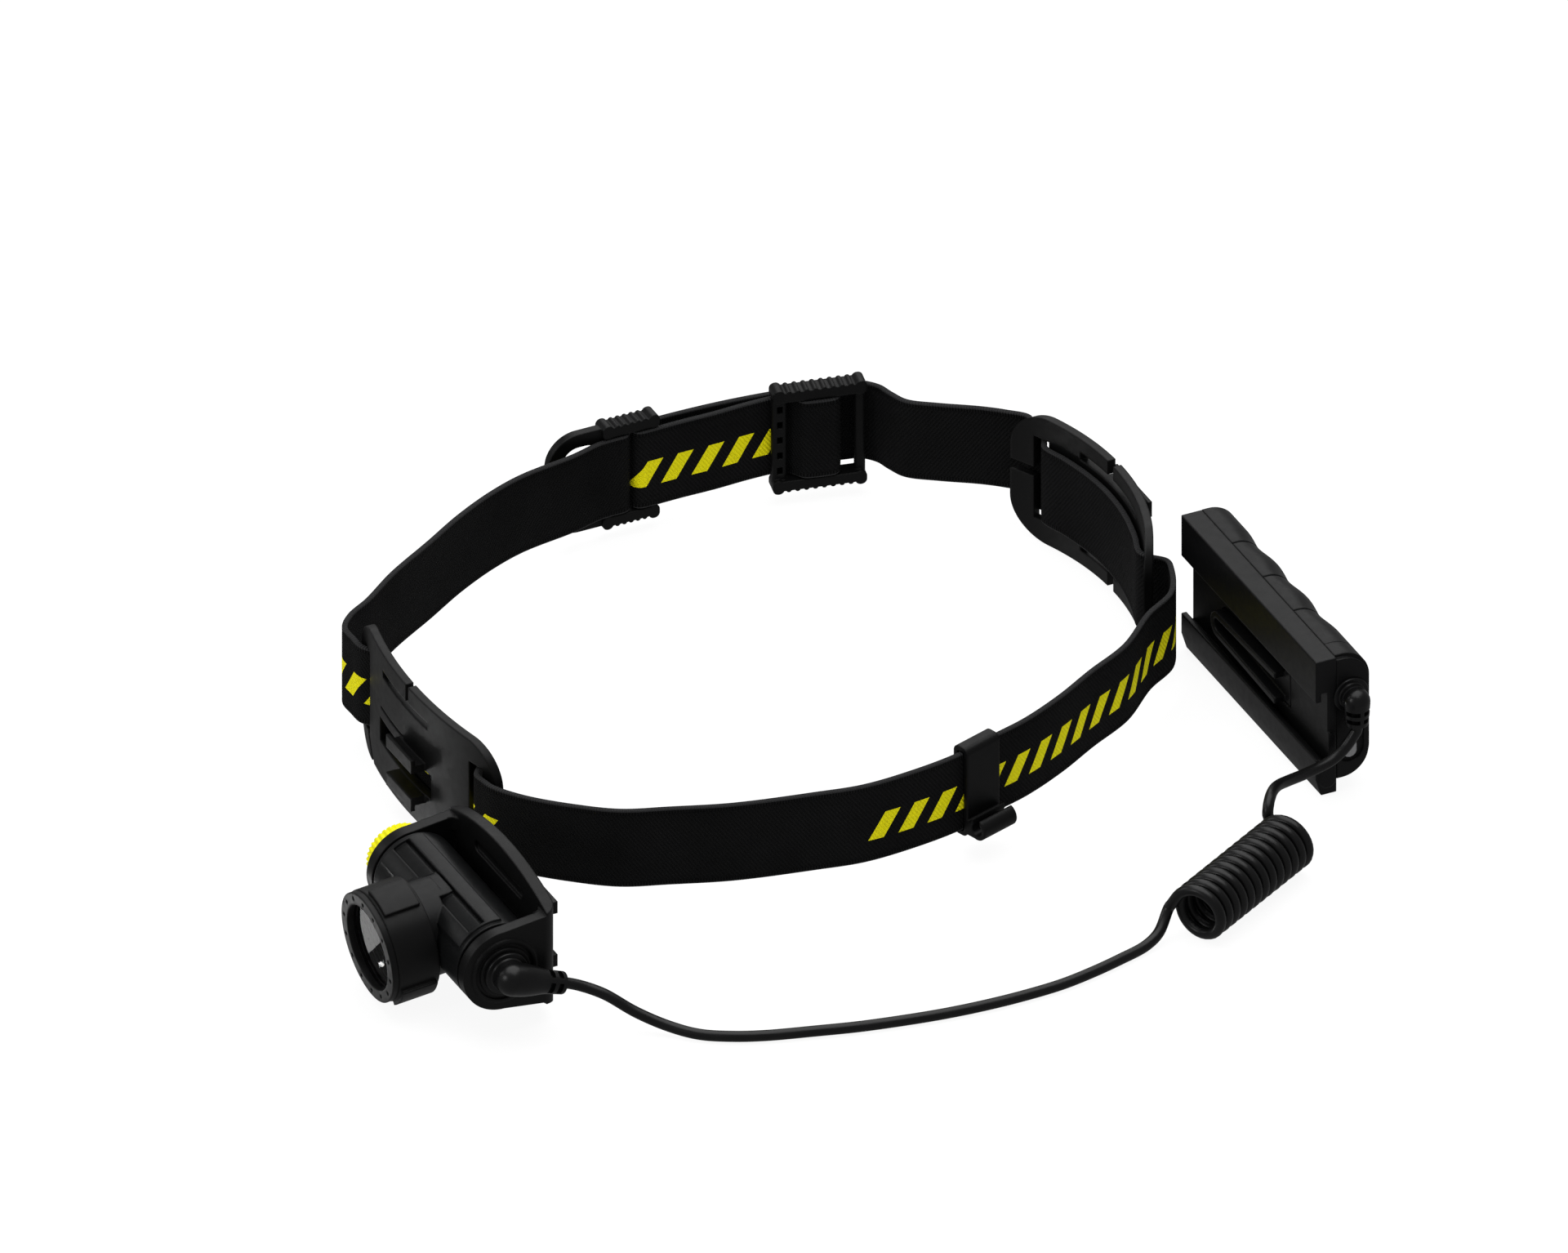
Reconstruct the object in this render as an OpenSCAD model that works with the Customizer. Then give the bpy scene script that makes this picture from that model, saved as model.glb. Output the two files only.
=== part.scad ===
// Cap lamp on an elastic headband: a tilting lamp head that docks on the front
// plate, a battery box that docks on the rear plate, and a curly cord between them.
// +Z is up, the beam points along -Y, and the ring's centre on the ground is the origin.
// Lamp and box stand beside their plates, drawn off their rails along +X.

/* [Strap] */
// Width of the elastic strap
strap_w = 25; // [18:1:26]
// Thickness of the elastic strap
strap_t = 1.6; // [1:0.1:1.8]
// Height of the strap's lower edge above the ground
strap_z = 8; // [7:0.5:10]

/* [Ring] */
// Reach of the strap to the wearer's left, from the ring's centre
ring_right = 100.5; // [92:0.5:110]
// Reach of the strap's inner run to the wearer's right
ring_left = 92; // [86:0.5:100]
// Distance from the ring's centre to the front plate's outer face
front_reach = 114.4; // [108:0.2:125]
// Distance from the ring's centre to the rear plate's outer face
back_reach = 114.8; // [108:0.2:125]

/* [Plates] */
// Length of both head plates along X
plate_len = 85; // [80:1:92]
// Height of both head plates
plate_h = 41; // [40:0.5:44]
// Wall of both head plates
plate_t = 2.5; // [2:0.1:3]
// Bend radius of the front plate
front_r = 150; // [130:1:180]
// Bend radius of the rear plate
rear_r = 85; // [80:1:100]
// Corner radius of both plates
plate_corner = 12; // [8:0.5:12.5]
// Width of the strap slots in the plates
slot_w = 5.6; // [5.2:0.1:6]
// Width of the end rails that the strap passes over
rail_w = 5; // [4:0.5:6]

/* [Docks] */
// Length of the front dock rails
front_rail_len = 16; // [12:1:20]
// Length of the rear dock rails
rear_rail_len = 22; // [16:1:24]
// Thickness of a dock lip, on the rails and on what they hold
lip_t = 1.5; // [1.3:0.1:1.8]
// Running gap all round the dock rails
dock_gap = 0.3; // [0.2:0.05:0.4]
// How far the lamp is drawn off its rails
lamp_off = 87; // [80:0.5:100]
// How far the battery box is drawn off its rails
box_off = 68; // [64:0.5:80]

/* [Lamp bracket] */
// Width of the bracket over its arms
bracket_w = 62; // [58:0.5:70]
// Wall of the bracket's arms and back bar
bracket_t = 3.6; // [2.6:0.1:3.8]
// Distance from the back bar's rear face to the tilt axis
arm_reach = 16.9; // [16.5:0.1:19]
// Radius of the arms' round ends
arm_r = 12.5; // [11.5:0.1:12.8]
// Height of the tilt axis above the ground
tilt_z = 20.7; // [20.5:0.1:22]
// Rise of the back bar's crowned edges
crown = 5.5; // [3:0.5:6]

/* [Lamp head] */
// Radius of the barrel
barrel_r = 12.5; // [12:0.1:12.8]
// Wall of the barrel
barrel_wall = 1.8; // [1.4:0.1:2]
// Gap between the barrel and each arm
barrel_gap = 1; // [0.8:0.1:1.4]
// Downward tilt of the beam at rest, in degrees
beam_tilt = 5.5; // [3:0.5:6]
// Distance from the tilt axis to the front of the focus ring
face_reach = 27.4; // [26.8:0.1:30]
// Radius of the focus ring under its grip pads
bezel_r = 16.4; // [16.2:0.1:16.8]
// Rise of the grip pads
pad_rise = 1.3; // [0.5:0.1:1.3]
// Radius of the focus ring's opening
opening_r = 12.6; // [12:0.1:13]
// Travel of the focusing lens
lens_travel = 3.6; // [2:0.1:3.7]
// Radius of the dimmer wheel
wheel_r = 9.8; // [8:0.1:10.5]
// Width of the dimmer wheel
wheel_w = 6.6; // [5:0.1:8]
// Number of ribs on the dimmer wheel
wheel_ribs = 36; // [24:2:48]

/* [Battery box] */
// Length of the battery box
box_len = 86; // [80:1:96]
// Height of the battery box
box_h = 44; // [42:0.5:46]
// Depth of the battery box over its dock
box_depth = 17.2; // [16.6:0.1:19]
// Wall of the case
case_wall = 1.4; // [1.2:0.1:1.6]
// Radius of the case's rear corners
case_corner = 9; // [6:0.5:9.5]
// Height of the case's lower edge over the dock plate's
case_lift = 3.4; // [2:0.2:4]
// Length of the end cap
cap_len = 8; // [7:0.5:10]

/* [Cord] */
// Diameter of the cord
cord_d = 3.2; // [3.2:0.1:3.2]
// Mean radius of the curly part's turns
curl_r = 7.25; // [6.5:0.05:7.25]
// Advance of one curl
curl_pitch = 3.65; // [3.65:0.01:3.8]
// Number of curls
curls = 13; // [8:1:13]

/* [Hidden] */
$fn = 64;
e = 0.01;

// ---- Strap and plates: where things are ----
strap_mid = strap_z + strap_w / 2;
strap_gap = 0.3;
off = strap_gap + strap_t / 2;
slot_h = strap_w + 2;
front_cx = 11;
front_dock_x = 8;
front_cy = front_r - front_reach;
rear_cx = -6;
rear_dock_x = 3;
rear_cy = back_reach - rear_r;
plate_z = strap_mid - plate_h / 2;

// ---- Buckle and adjuster ----
bar_r = 1.2;
loop_r = bar_r + strap_gap + strap_t / 2;
glide_h = strap_w + 7;
glide_z = strap_mid - glide_h / 2;
glide_rail = 3;
layer = strap_t + 0.7;
adj_x = -ring_left + 1.4;
adj_y = 61;
adj_lo = 47;
adj_hi = 74;
adj_bar = 2.6;
adj_flat = 4;
adj_turn = 12;
buck_x = -ring_left - 2.6;
buck_y = 1.8;
buck_pitch = 6.6;

// A point at the end of a turn around centre c
function spot(c, r, a) = c + r * [cos(a), sin(a)];
// A point of the adjuster, turned with it about its front bar
function swung(p) = [
    adj_x + (p[0] - adj_x) * cos(adj_turn) + (p[1] - adj_lo) * sin(adj_turn),
    adj_lo - (p[0] - adj_x) * sin(adj_turn) + (p[1] - adj_lo) * cos(adj_turn)
];
function swing(list) = [for (p = list) swung(p)];
function turn(c, r, a0, a1, n) = [for (i = [0:n]) spot(c, r, a0 + (a1 - a0) * i / n)];
// A point on a plate's bend: r from its centre, s millimetres along from its middle
function on_front(r, s) = [front_cx, front_cy] + r * [sin(s / front_r * 57.3), -cos(s / front_r * 57.3)];
function on_rear(r, s) = [rear_cx, rear_cy] + r * [sin(s / rear_r * 57.3), cos(s / rear_r * 57.3)];

slot_s = plate_len / 2 - rail_w - slot_w / 2;
step_s = 2.3;
rest_s = slot_w / 2 + rail_w - 1;
// Shape of the free runs, as shares of the ring's reach on each side
right_run = [
    [0.468, 0.906], [0.541, 0.814], [0.66, 0.701], [0.739, 0.576], [0.819, 0.458], [0.885, 0.337],
    [0.922, 0.237], [0.967, 0.121], [0.992, -0.009], [1, -0.149], [0.977, -0.27], [0.928, -0.47],
    [0.868, -0.619], [0.819, -0.731], [0.739, -0.825], [0.642, -0.912], [0.557, -0.962]
];
left_run = [
    [-0.402, -0.969], [-0.457, -0.933], [-0.513, -0.862], [-0.613, -0.757], [-0.722, -0.616],
    [-0.818, -0.495], [-0.893, -0.378], [-0.938, -0.278], [-0.971, -0.131]
];
rear_left_run = [
    [-0.571, 0.944], [-0.63, 0.902], [-0.68, 0.854], [-0.751, 0.77],
    [-0.813, 0.707], [-0.872, 0.688]
];
function fit(p) = [
    p[0] * (p[0] > 0 ? ring_right : ring_left),
    p[1] * (p[1] > 0 ? back_reach : front_reach)
];
function fit_all(list) = [for (p = list) fit(p)];

adj_c = [adj_x, adj_y];
buck_a = [buck_x, buck_y];
buck_b = [buck_x, buck_y + buck_pitch];
wrap_r = adj_bar / 2 + off;
run_x = adj_x - wrap_r;
// The whole strap: from its sewn end at the adjuster round the head to its sewn end at the buckle
strap_route = concat(
    swing([adj_c + [-wrap_r, -2], adj_c + [-wrap_r, 1]]),
    swing(turn(adj_c + [0, adj_flat - adj_bar / 2], wrap_r, 180, 0, 7)),
    swing([adj_c + [wrap_r, -2.6], adj_c + [2, -4.8], adj_c + [0, -6.7], adj_c + [-2, -8.8]]),
    [swung([run_x, adj_y - 11.2]), [run_x + 0.2, adj_y - 19], [run_x + 0.6, adj_y - 31]],
    [[run_x + 0.5, adj_y - 41], [buck_x + loop_r, buck_b[1] + 2]],
    turn(buck_b, loop_r, 0, -180, 7),
    [[buck_x - loop_r, buck_b[1] + 4], [buck_x - loop_r, buck_b[1] + 14], [run_x - layer - 1, adj_y - 25]],
    swing([[run_x - layer, adj_y - 11], [run_x - layer, adj_y], [run_x - layer, adj_y + 8]]),
    swing([[run_x - layer + 0.4, adj_y + 12.6], [run_x - layer + 3.6, adj_y + 17]]),
    [for (i = [len(rear_left_run) - 1:-1:0]) fit(rear_left_run[i])],
    [on_rear(rear_r + off + 0.3, -slot_s - rest_s), on_rear(rear_r + off, -slot_s - step_s)],
    [on_rear(rear_r - plate_t / 2, -slot_s), on_rear(rear_r - plate_t - off, -slot_s + step_s)],
    [for (s = [-2:2]) on_rear(rear_r - plate_t - off - 0.4, s * slot_s / 3)],
    [on_rear(rear_r - plate_t - off, slot_s - step_s), on_rear(rear_r - plate_t / 2, slot_s)],
    [on_rear(rear_r + off + 2.5, slot_s + step_s), on_rear(rear_r + off + 4, slot_s + rest_s)],
    fit_all(right_run),
    [on_front(front_r + off + 1.2, slot_s + rest_s), on_front(front_r + off + 0.4, slot_s + step_s)],
    [on_front(front_r - plate_t / 2, slot_s), on_front(front_r - plate_t - off, slot_s - step_s)],
    [for (s = [2:-1:-2]) on_front(front_r - plate_t - off - 0.4, s * slot_s / 3)],
    [on_front(front_r - plate_t - off, -slot_s + step_s), on_front(front_r - plate_t / 2, -slot_s)],
    [on_front(front_r + off, -slot_s - step_s), on_front(front_r + off + 1.5, -slot_s - rest_s)],
    fit_all(left_run),
    [[buck_x + loop_r + 0.3, buck_y - 7], [buck_x + loop_r, buck_y - 2]],
    turn(buck_a, loop_r, 0, 180, 7),
    [buck_a + [-loop_r, -3], buck_a + [-loop_r, -7]]
);

// Centripetal Catmull-Rom curve through a list of points
function gap(a, b) = pow(max(norm(b - a), 0.001), 0.5);
function mix(a, b, ta, tb, t) = ((tb - t) * a + (t - ta) * b) / (tb - ta);
function curve_at(p, t1, t2, t3, t) =
    let (a1 = mix(p[0], p[1], 0, t1, t), a2 = mix(p[1], p[2], t1, t2, t), a3 = mix(p[2], p[3], t2, t3, t))
    let (b1 = mix(a1, a2, 0, t2, t), b2 = mix(a2, a3, t1, t3, t))
    mix(b1, b2, t1, t2, t);
function span(p, n) =
    let (t1 = gap(p[0], p[1]), t2 = t1 + gap(p[1], p[2]), t3 = t2 + gap(p[2], p[3]))
    [for (i = [0:n - 1]) curve_at(p, t1, t2, t3, t1 + (t2 - t1) * i / n)];
function smooth(p, n) = let (m = len(p) - 1) concat(
    [for (i = [0:m - 1]) each span([
        i > 0 ? p[i - 1] : 2 * p[0] - p[1], p[i], p[i + 1],
        i < m - 1 ? p[i + 2] : 2 * p[m] - p[m - 1]
    ], n)],
    [p[m]]
);
function side(a, b) = let (d = b - a) [-d[1], d[0]] / norm(d);
// The outline of a flat ribbon of width w along a line
function ribbon(line, w) = let (m = len(line) - 1) concat(
    [for (i = [0:m]) line[i] + side(line[max(i - 1, 0)], line[min(i + 1, m)]) * w / 2],
    [for (i = [m:-1:0]) line[i] - side(line[max(i - 1, 0)], line[min(i + 1, m)]) * w / 2]
);

// ---- Shapes used by several parts ----
module along_x(x0, x1) {
    translate([x0, 0, 0]) rotate([90, 0, 90]) linear_extrude(height = x1 - x0) children();
}
module across_y(y0, y1) {
    translate([0, y1, 0]) rotate([90, 0, 0]) linear_extrude(height = y1 - y0) children();
}
module rod_x(x0, x1, r, y, z) {
    translate([x0, y, z]) rotate([0, 90, 0]) cylinder(h = x1 - x0, r = r);
}
module box(lo, hi) {
    translate(lo) cube(hi - lo);
}
// A rectangle from lo to hi with round corners
module round_rect(lo, hi, r) {
    translate([lo[0] + r, lo[1]]) square([hi[0] - lo[0] - 2 * r, hi[1] - lo[1]]);
    translate([lo[0], lo[1] + r]) square([hi[0] - lo[0], hi[1] - lo[1] - 2 * r]);
    for (x = [lo[0] + r, hi[0] - r], y = [lo[1] + r, hi[1] - r]) {
        translate([x, y]) circle(r = r);
    }
}

// ---- Headband ----
module headband_strap() {
    color("#161616")
    translate([0, 0, strap_z]) linear_extrude(height = strap_w)
    polygon(ribbon(smooth(strap_route, 3), strap_t));
}

// A bent plate with strap slots, in its own frame: bend centre at the origin, bulging to -Y
module bent_plate(r) {
    slot_a = slot_s / r * 57.3;
    difference() {
        intersection() {
            translate([0, 0, plate_z]) difference() {
                cylinder(h = plate_h, r = r, $fn = 200);
                translate([0, 0, -1]) cylinder(h = plate_h + 2, r = r - plate_t, $fn = 200);
            }
            across_y(-r - 1, -r / 2)
            round_rect([-plate_len / 2, plate_z], [plate_len / 2, plate_z + plate_h], plate_corner);
        }
        for (a = [-slot_a, slot_a]) {
            rotate([0, 0, a]) box(
                [-slot_w / 2, -r - 2, strap_mid - slot_h / 2],
                [slot_w / 2, -r + plate_t + 2, strap_mid + slot_h / 2]
            );
        }
    }
}

slit = 1.6;
front_web_lo = 8.8;
front_web_hi = 21.8;
front_web_t = 2.4;
front_lip = 1.8;
front_dock_y = front_reach + 0.8;
front_rail_x = 13 - front_cx;
rear_web_lo = 12.1;
rear_web_hi = 30.3;
rear_web_t = 2.2;
rear_lip = 2.7;
rear_dock_y = back_reach + 1.5;
rear_rail_x = 8.3 + rear_cx;

// Two straight dock rails, standing out to -Y from y: a web each, with a lip turned away
module dock_rails(y_root, y_lip, length, z_lo, z_hi, web, lip) {
    box([-length / 2, y_lip, z_lo], [length / 2, y_root, z_lo + web]);
    box([-length / 2, y_lip, z_hi - web], [length / 2, y_root, z_hi]);
    box([-length / 2, y_lip, z_lo - lip], [length / 2, y_lip + lip_t - dock_gap, z_lo + web]);
    box([-length / 2, y_lip, z_hi - web], [length / 2, y_lip + lip_t - dock_gap, z_hi + lip]);
}

module front_plate() {
    lip_y = -front_dock_y - 2 * lip_t - dock_gap - front_cy;
    color("#232323")
    translate([front_cx, front_cy, 0]) difference() {
        union() {
            bent_plate(front_r);
            translate([front_rail_x, 0, 0]) difference() {
                dock_rails(
                    -front_r + 4, lip_y, front_rail_len, front_web_lo, front_web_hi,
                    front_web_t, front_lip
                );
                translate([-front_rail_x, 0, -1])
                cylinder(h = plate_h + 2, r = front_r - plate_t / 2, $fn = 200);
            }
        }
        // window between the rails, and the long slot under the top rim
        box([-21.4, -front_r - 1, front_web_lo + front_web_t + 0.2],
            [13, -front_r / 2, front_web_hi - front_web_t - 0.2]);
        box([-19, -front_r - 1, plate_z + plate_h - 7.6], [11, -front_r / 2, plate_z + plate_h - 5.4]);
        // shallow groove over the window
        translate([0, 0, front_web_hi + 0.6]) difference() {
            cylinder(h = 0.8, r = front_r + 1, $fn = 200);
            translate([0, 0, -1]) cylinder(h = 3, r = front_r - 0.8, $fn = 200);
            for (x = [-63, -3.5]) box([x, -front_r - 9, -2], [x + 42.5, 0, 4]);
            box([-99, -front_r / 2, -2], [99, front_r + 9, 4]);
            box([0, -front_r - 9, -2], [99, 0, 4]);
        }
        // slits that let the strap be slipped in
        box([-2, -front_r - 1, plate_z + plate_h - 6], [slit - 2, -front_r / 2, plate_h + 2]);
        translate([-slot_s + slot_w / 2 + 1, 0, 4]) rotate([0, -35, 0])
        box([-slit / 2, -front_r - 1, -9], [slit / 2, -front_r / 2, 5.4]);
    }
}

module rear_plate() {
    lip_y = -rear_dock_y - 2 * lip_t - dock_gap + rear_cy;
    color("#232323")
    translate([rear_cx, rear_cy, 0]) rotate([0, 0, 180]) difference() {
        union() {
            bent_plate(rear_r);
            translate([rear_rail_x, 0, 0]) difference() {
                dock_rails(
                    -rear_r + 6, lip_y, rear_rail_len, rear_web_lo, rear_web_hi,
                    rear_web_t, rear_lip
                );
                translate([-rear_rail_x, 0, -1])
                cylinder(h = plate_h + 2, r = rear_r - plate_t / 2, $fn = 200);
            }
        }
        // long slots under both rims, each opened by a slit
        for (z = [plate_z + 4.4, plate_z + plate_h - 6.8]) {
            box([-17, -rear_r - 1, z], [18, -rear_r / 2, z + 2.4]);
        }
        box([1, -rear_r - 1, plate_z - 1], [4.4, -rear_r / 2, plate_z + 5]);
        box([1, -rear_r - 1, plate_z + plate_h - 5], [4.4, -rear_r / 2, plate_z + plate_h + 1]);
        // slit through the end rail at mid height
        box([plate_len / 2 - rail_w - 3, -rear_r - 1, strap_mid],
            [plate_len / 2 + 1, -rear_r / 2, strap_mid + 2 * slit]);
    }
}

// Top and bottom rails of a strap fitting with finger ribs, from y0 to y1
module glide_rails(x, y0, y1, ribs) {
    half = 2.6;
    hump = 3.4;
    along_x(x - half, x + half) for (side = [0, 1]) {
        translate([0, side * 2 * strap_mid]) mirror([0, side]) {
            round_rect([y0, glide_z], [y1, glide_z + glide_rail], 1.7);
            for (y = [y0, y1 - hump]) round_rect([y, glide_z - 0.9], [y + hump, glide_z + glide_rail], 1.6);
            for (i = [0:ribs - 1]) {
                translate([y0 + hump + 1.2 + (y1 - y0 - 2 * hump - 2.4) * i / (ribs - 1), glide_z + 0.3])
                circle(r = 0.8, $fn = 20);
            }
        }
    }
}

// An upright bar from y0 to y1 with round edges
module flat_bar(x, y0, y1) {
    r = adj_bar / 2;
    box([x - r, y0 + r, glide_z + 1], [x + r, y1 - r, glide_z + glide_h - 1]);
    for (y = [y0 + r, y1 - r]) translate([x, y, glide_z + 1]) cylinder(h = glide_h - 2, r = r);
}

module strap_adjuster() {
    color("#262626")
    translate([adj_x, adj_lo, 0]) rotate([0, 0, -adj_turn]) translate([-adj_x, -adj_lo, 0]) difference() {
        union() {
            glide_rails(adj_x, adj_lo, adj_hi, 8);
            flat_bar(adj_x, adj_y - adj_flat, adj_y + adj_flat);
            flat_bar(adj_x, adj_lo, adj_lo + 4.5);
            flat_bar(adj_x, adj_hi - 3.2, adj_hi);
        }
        // row of small windows in the front bar
        for (i = [-2:2]) {
            box([adj_x - 3, adj_lo + 1.5, strap_mid + i * 5 - 1.1],
                [adj_x + 3, adj_lo + 3.1, strap_mid + i * 5 + 1.1]);
        }
    }
}

module strap_buckle() {
    y_front = buck_y - 6;
    tail = 16.4;
    thick = 2.6;
    x = buck_x;
    color("#262626") {
        glide_rails(buck_x, y_front, buck_b[1] + 5, 5);
        for (c = [buck_a, buck_b]) {
            translate([c[0], c[1], glide_z + 1]) cylinder(h = glide_h - 2, r = bar_r);
        }
        // finger loop, a D in side view
        intersection() {
            along_x(x - thick / 2, x + thick / 2) difference() {
                round_rect([y_front - tail, glide_z], [y_front + 16, glide_z + glide_h], 9.5);
                round_rect([y_front - tail + 4.4, glide_z + 4.2], [y_front, glide_z + glide_h - 4.2], 5);
            }
            box([x - 5, y_front - tail - 1, 0], [x + 5, y_front + 3, glide_z + glide_h]);
        }
    }
}

clip_w = 12.6;
clip_wall = 1.5;
clip_gap = 0.5;
clip_rise = 0.4;
// The clip sits on the strap between two points of the free run
clip_p = (fit(right_run[6]) + fit(right_run[7])) / 2;
clip_d = fit(right_run[6]) - fit(right_run[7]);
clip_a = atan2(clip_d[1], clip_d[0]) - 90;
hook_r = 3.3;
hook_bore = 1.9;
hook_z = 10.4;
hook_x = 6.4;
module cable_clip() {
    half = strap_t / 2 + clip_gap;
    lo = strap_z - clip_rise;
    hi = strap_z + strap_w + clip_rise;
    color("#242424")
    translate([clip_p[0], clip_p[1], 0]) rotate([0, 0, clip_a]) {
        difference() {
            translate([0, clip_w / 2, 0]) rotate([90, 0, 0]) linear_extrude(height = clip_w) difference() {
                round_rect([-half - clip_wall, lo - clip_wall], [half + clip_wall, hi + clip_wall], 2);
                round_rect([-half, lo], [half, hi], 0.6);
            }
            // mouth on the head side, where the strap is slipped in
            box([-half - 3, -clip_w, strap_mid - 5], [0, clip_w, strap_mid + 5]);
        }
        // rolled hook for the cord, low on the outer face, its mouth upwards
        translate([0, clip_w / 2, 0]) rotate([90, 0, 0]) linear_extrude(height = clip_w) difference() {
            union() {
                translate([hook_x, hook_z]) circle(r = hook_r);
                translate([half + clip_wall - 1, hook_z - hook_r + 0.1])
                square([hook_x - half - clip_wall + 1, hook_r + 1.4]);
            }
            translate([hook_x, hook_z]) circle(r = hook_bore);
            translate([hook_x, hook_z]) rotate(98) translate([0, -1.3]) square([hook_r + 1, 2.6]);
        }
    }
}

// ---- Lamp bracket ----
lamp_x = front_dock_x + lamp_off;
arm_in = bracket_w / 2 - bracket_t;
bar_y = -front_dock_y - 8.6;
tilt_y = bar_y - arm_reach;
bar_half = 14.8;
bush_r = 6;
bush_wall = 1.05;
run_gap = 0.05;
trunnion_r = bush_r - bush_wall - run_gap;

module crowned(half_w, half_h, rise) {
    r = (half_w * half_w + rise * rise) / (2 * rise);
    intersection() {
        translate([-half_w, -half_h - rise]) square([2 * half_w, 2 * (half_h + rise)]);
        translate([0, half_h + rise - r]) circle(r = r, $fn = 180);
        translate([0, r - half_h - rise]) circle(r = r, $fn = 180);
    }
}

module bracket() {
    z = tilt_z;
    lip_lo = front_web_lo - front_lip - dock_gap;
    lip_hi = front_web_hi + front_lip + dock_gap;
    dock_half = 12.6;
    corner = 4.6;
    fillet = 2.6;
    color("#262626") translate([lamp_x, 0, 0]) difference() {
        union() {
            // back bar and arms, with rounded corners between them
            intersection() {
                union() {
                    across_y(bar_y - bracket_t, bar_y) translate([0, z])
                    crowned(bracket_w / 2, bar_half, crown);
                    for (x = [-bracket_w / 2, arm_in]) {
                        along_x(x, x + bracket_t) {
                            polygon([
                                [bar_y - e, z - bar_half + 0.2], [bar_y - e, z + bar_half - 0.2],
                                [tilt_y - 1.2, z + arm_r - 0.15], [tilt_y - 1.2, z - arm_r + 0.15]
                            ]);
                            translate([tilt_y, z]) circle(r = arm_r);
                        }
                    }
                }
                linear_extrude(height = 60)
                round_rect([-bracket_w / 2, bar_y - 60], [bracket_w / 2, bar_y], corner);
            }
            // fillets inside the corners, clear of the barrel
            for (x = [-arm_in - bracket_t, arm_in], side = [0, 1]) {
                lo = side == 0 ? z - bar_half + 0.6 : z + 10;
                hi = side == 0 ? z - 10 : z + bar_half - 0.6;
                cx = x < 0 ? x + bracket_t : x;
                translate([0, 0, lo]) linear_extrude(height = hi - lo) difference() {
                    translate([x < 0 ? cx - e : cx - fillet, bar_y - bracket_t - fillet])
                    square([fillet + e, fillet + e]);
                    translate([x < 0 ? cx + fillet : cx - fillet, bar_y - bracket_t - fillet])
                    circle(r = fillet, $fn = 32);
                }
            }
            // raised rings round the cord's boot
            along_x(bracket_w / 2 - e, bracket_w / 2 + 0.6) translate([tilt_y, z]) difference() {
                circle(r = 10);
                circle(r = 8.8);
            }
            rod_x(bracket_w / 2 - e, bracket_w / 2 + 1, 7.6, tilt_y, z);
            // dock block behind the back bar
            box([-dock_half, bar_y - e, lip_lo - 2], [dock_half, -front_dock_y, lip_hi + 2]);
        }
        // channel for the dock rails: a mouth and a wider slot behind it
        box([-dock_half - 1, bar_y, front_web_lo - dock_gap],
            [dock_half + 1, -front_dock_y + 1, front_web_hi + dock_gap]);
        box([-dock_half - 1, -front_dock_y - 2 * lip_t - 2 * dock_gap, lip_lo],
            [dock_half + 1, -front_dock_y - lip_t, lip_hi]);
        // shallow long slot in the back bar's inner face
        across_y(bar_y - bracket_t - 1, bar_y - bracket_t + 1)
        round_rect([-15, z + 10.2], [15, z + 13.6], 1.6);
        rod_x(-bracket_w / 2 - 1, -arm_in + 1, bush_r, tilt_y, z);
        rod_x(arm_in - 1, bracket_w / 2 + 2, bush_r, tilt_y, z);
    }
}

module pivot_bushes() {
    color("#8d8d88") for (side = [0, 1]) {
        translate([lamp_x, tilt_y, tilt_z]) mirror([side, 0, 0]) difference() {
            union() {
                rod_x(arm_in, bracket_w / 2, bush_r, 0, 0);
                rod_x(arm_in - 0.6, arm_in, bush_r + 1.8, 0, 0);
            }
            rod_x(arm_in - 1, bracket_w / 2 + 1, bush_r - bush_wall, 0, 0);
        }
    }
}

// Cord exit at the lamp: the boot's far end and its direction
boot_x = bracket_w / 2 + 5;
boot_turn = [-18.5, 0, -2];
boot_len = 16.4;
lamp_exit = [lamp_x + boot_x, tilt_y, tilt_z];
module lamp_boot() {
    color("#202020") translate(lamp_exit) {
        rod_x(-boot_x + bracket_w / 2 + 1, -boot_x + bracket_w / 2 + 2.2, 6.5, 0, 0);
        rod_x(-boot_x + bracket_w / 2 + 1, 0, 4.9, 0, 0);
        rod_x(-boot_x + bracket_w / 2 - 4, -boot_x + bracket_w / 2 + 1 + e, trunnion_bore - 0.35, 0, 0);
        sphere(r = 4.9);
        rotate(boot_turn) difference() {
            rotate([-90, 0, 0]) cylinder(h = boot_len, r1 = 4.7, r2 = 3.5);
            for (y = [boot_len - 6, boot_len - 3], x = [-4.2, 2.4]) {
                box([x, y, -1.6], [x + 1.8, y + 1.4, 1.6]);
            }
            for (y = [boot_len - 6, boot_len - 3], z = [-4.2, 2.4]) {
                box([-1.6, y, z], [1.6, y + 1.4, z + 1.8]);
            }
        }
    }
}

// ---- Lamp head ----
barrel_half = arm_in - barrel_gap;
cavity_r = barrel_r - barrel_wall;
trunnion_bore = 3.1;
neck_r = 13.8;
neck_bore = 12.2;
neck_lo = 5;
neck_hi = 19;
ring_t = 2;
lens_t = 1.2;
gasket_t = 0.6;
lens_z = face_reach - ring_t - lens_t;
cover_half = 21;
cover_z = 7.5;
cover_y = 6;
cover_gap = 0.15;
pad_half = barrel_half - 1.4;
pad_gap = 5.4;

// Local frame of the beam: +Z along the beam from the tilt axis
module optic() {
    translate([lamp_x, tilt_y, tilt_z]) rotate([90 + beam_tilt, 0, 0]) children();
}
// Local frame of the barrel: along X through the tilt axis
module barrel() {
    translate([lamp_x, tilt_y, tilt_z]) children();
}
module cylinder_at(z0, z1, r) {
    translate([0, 0, z0]) cylinder(h = z1 - z0, r = r);
}

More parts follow.
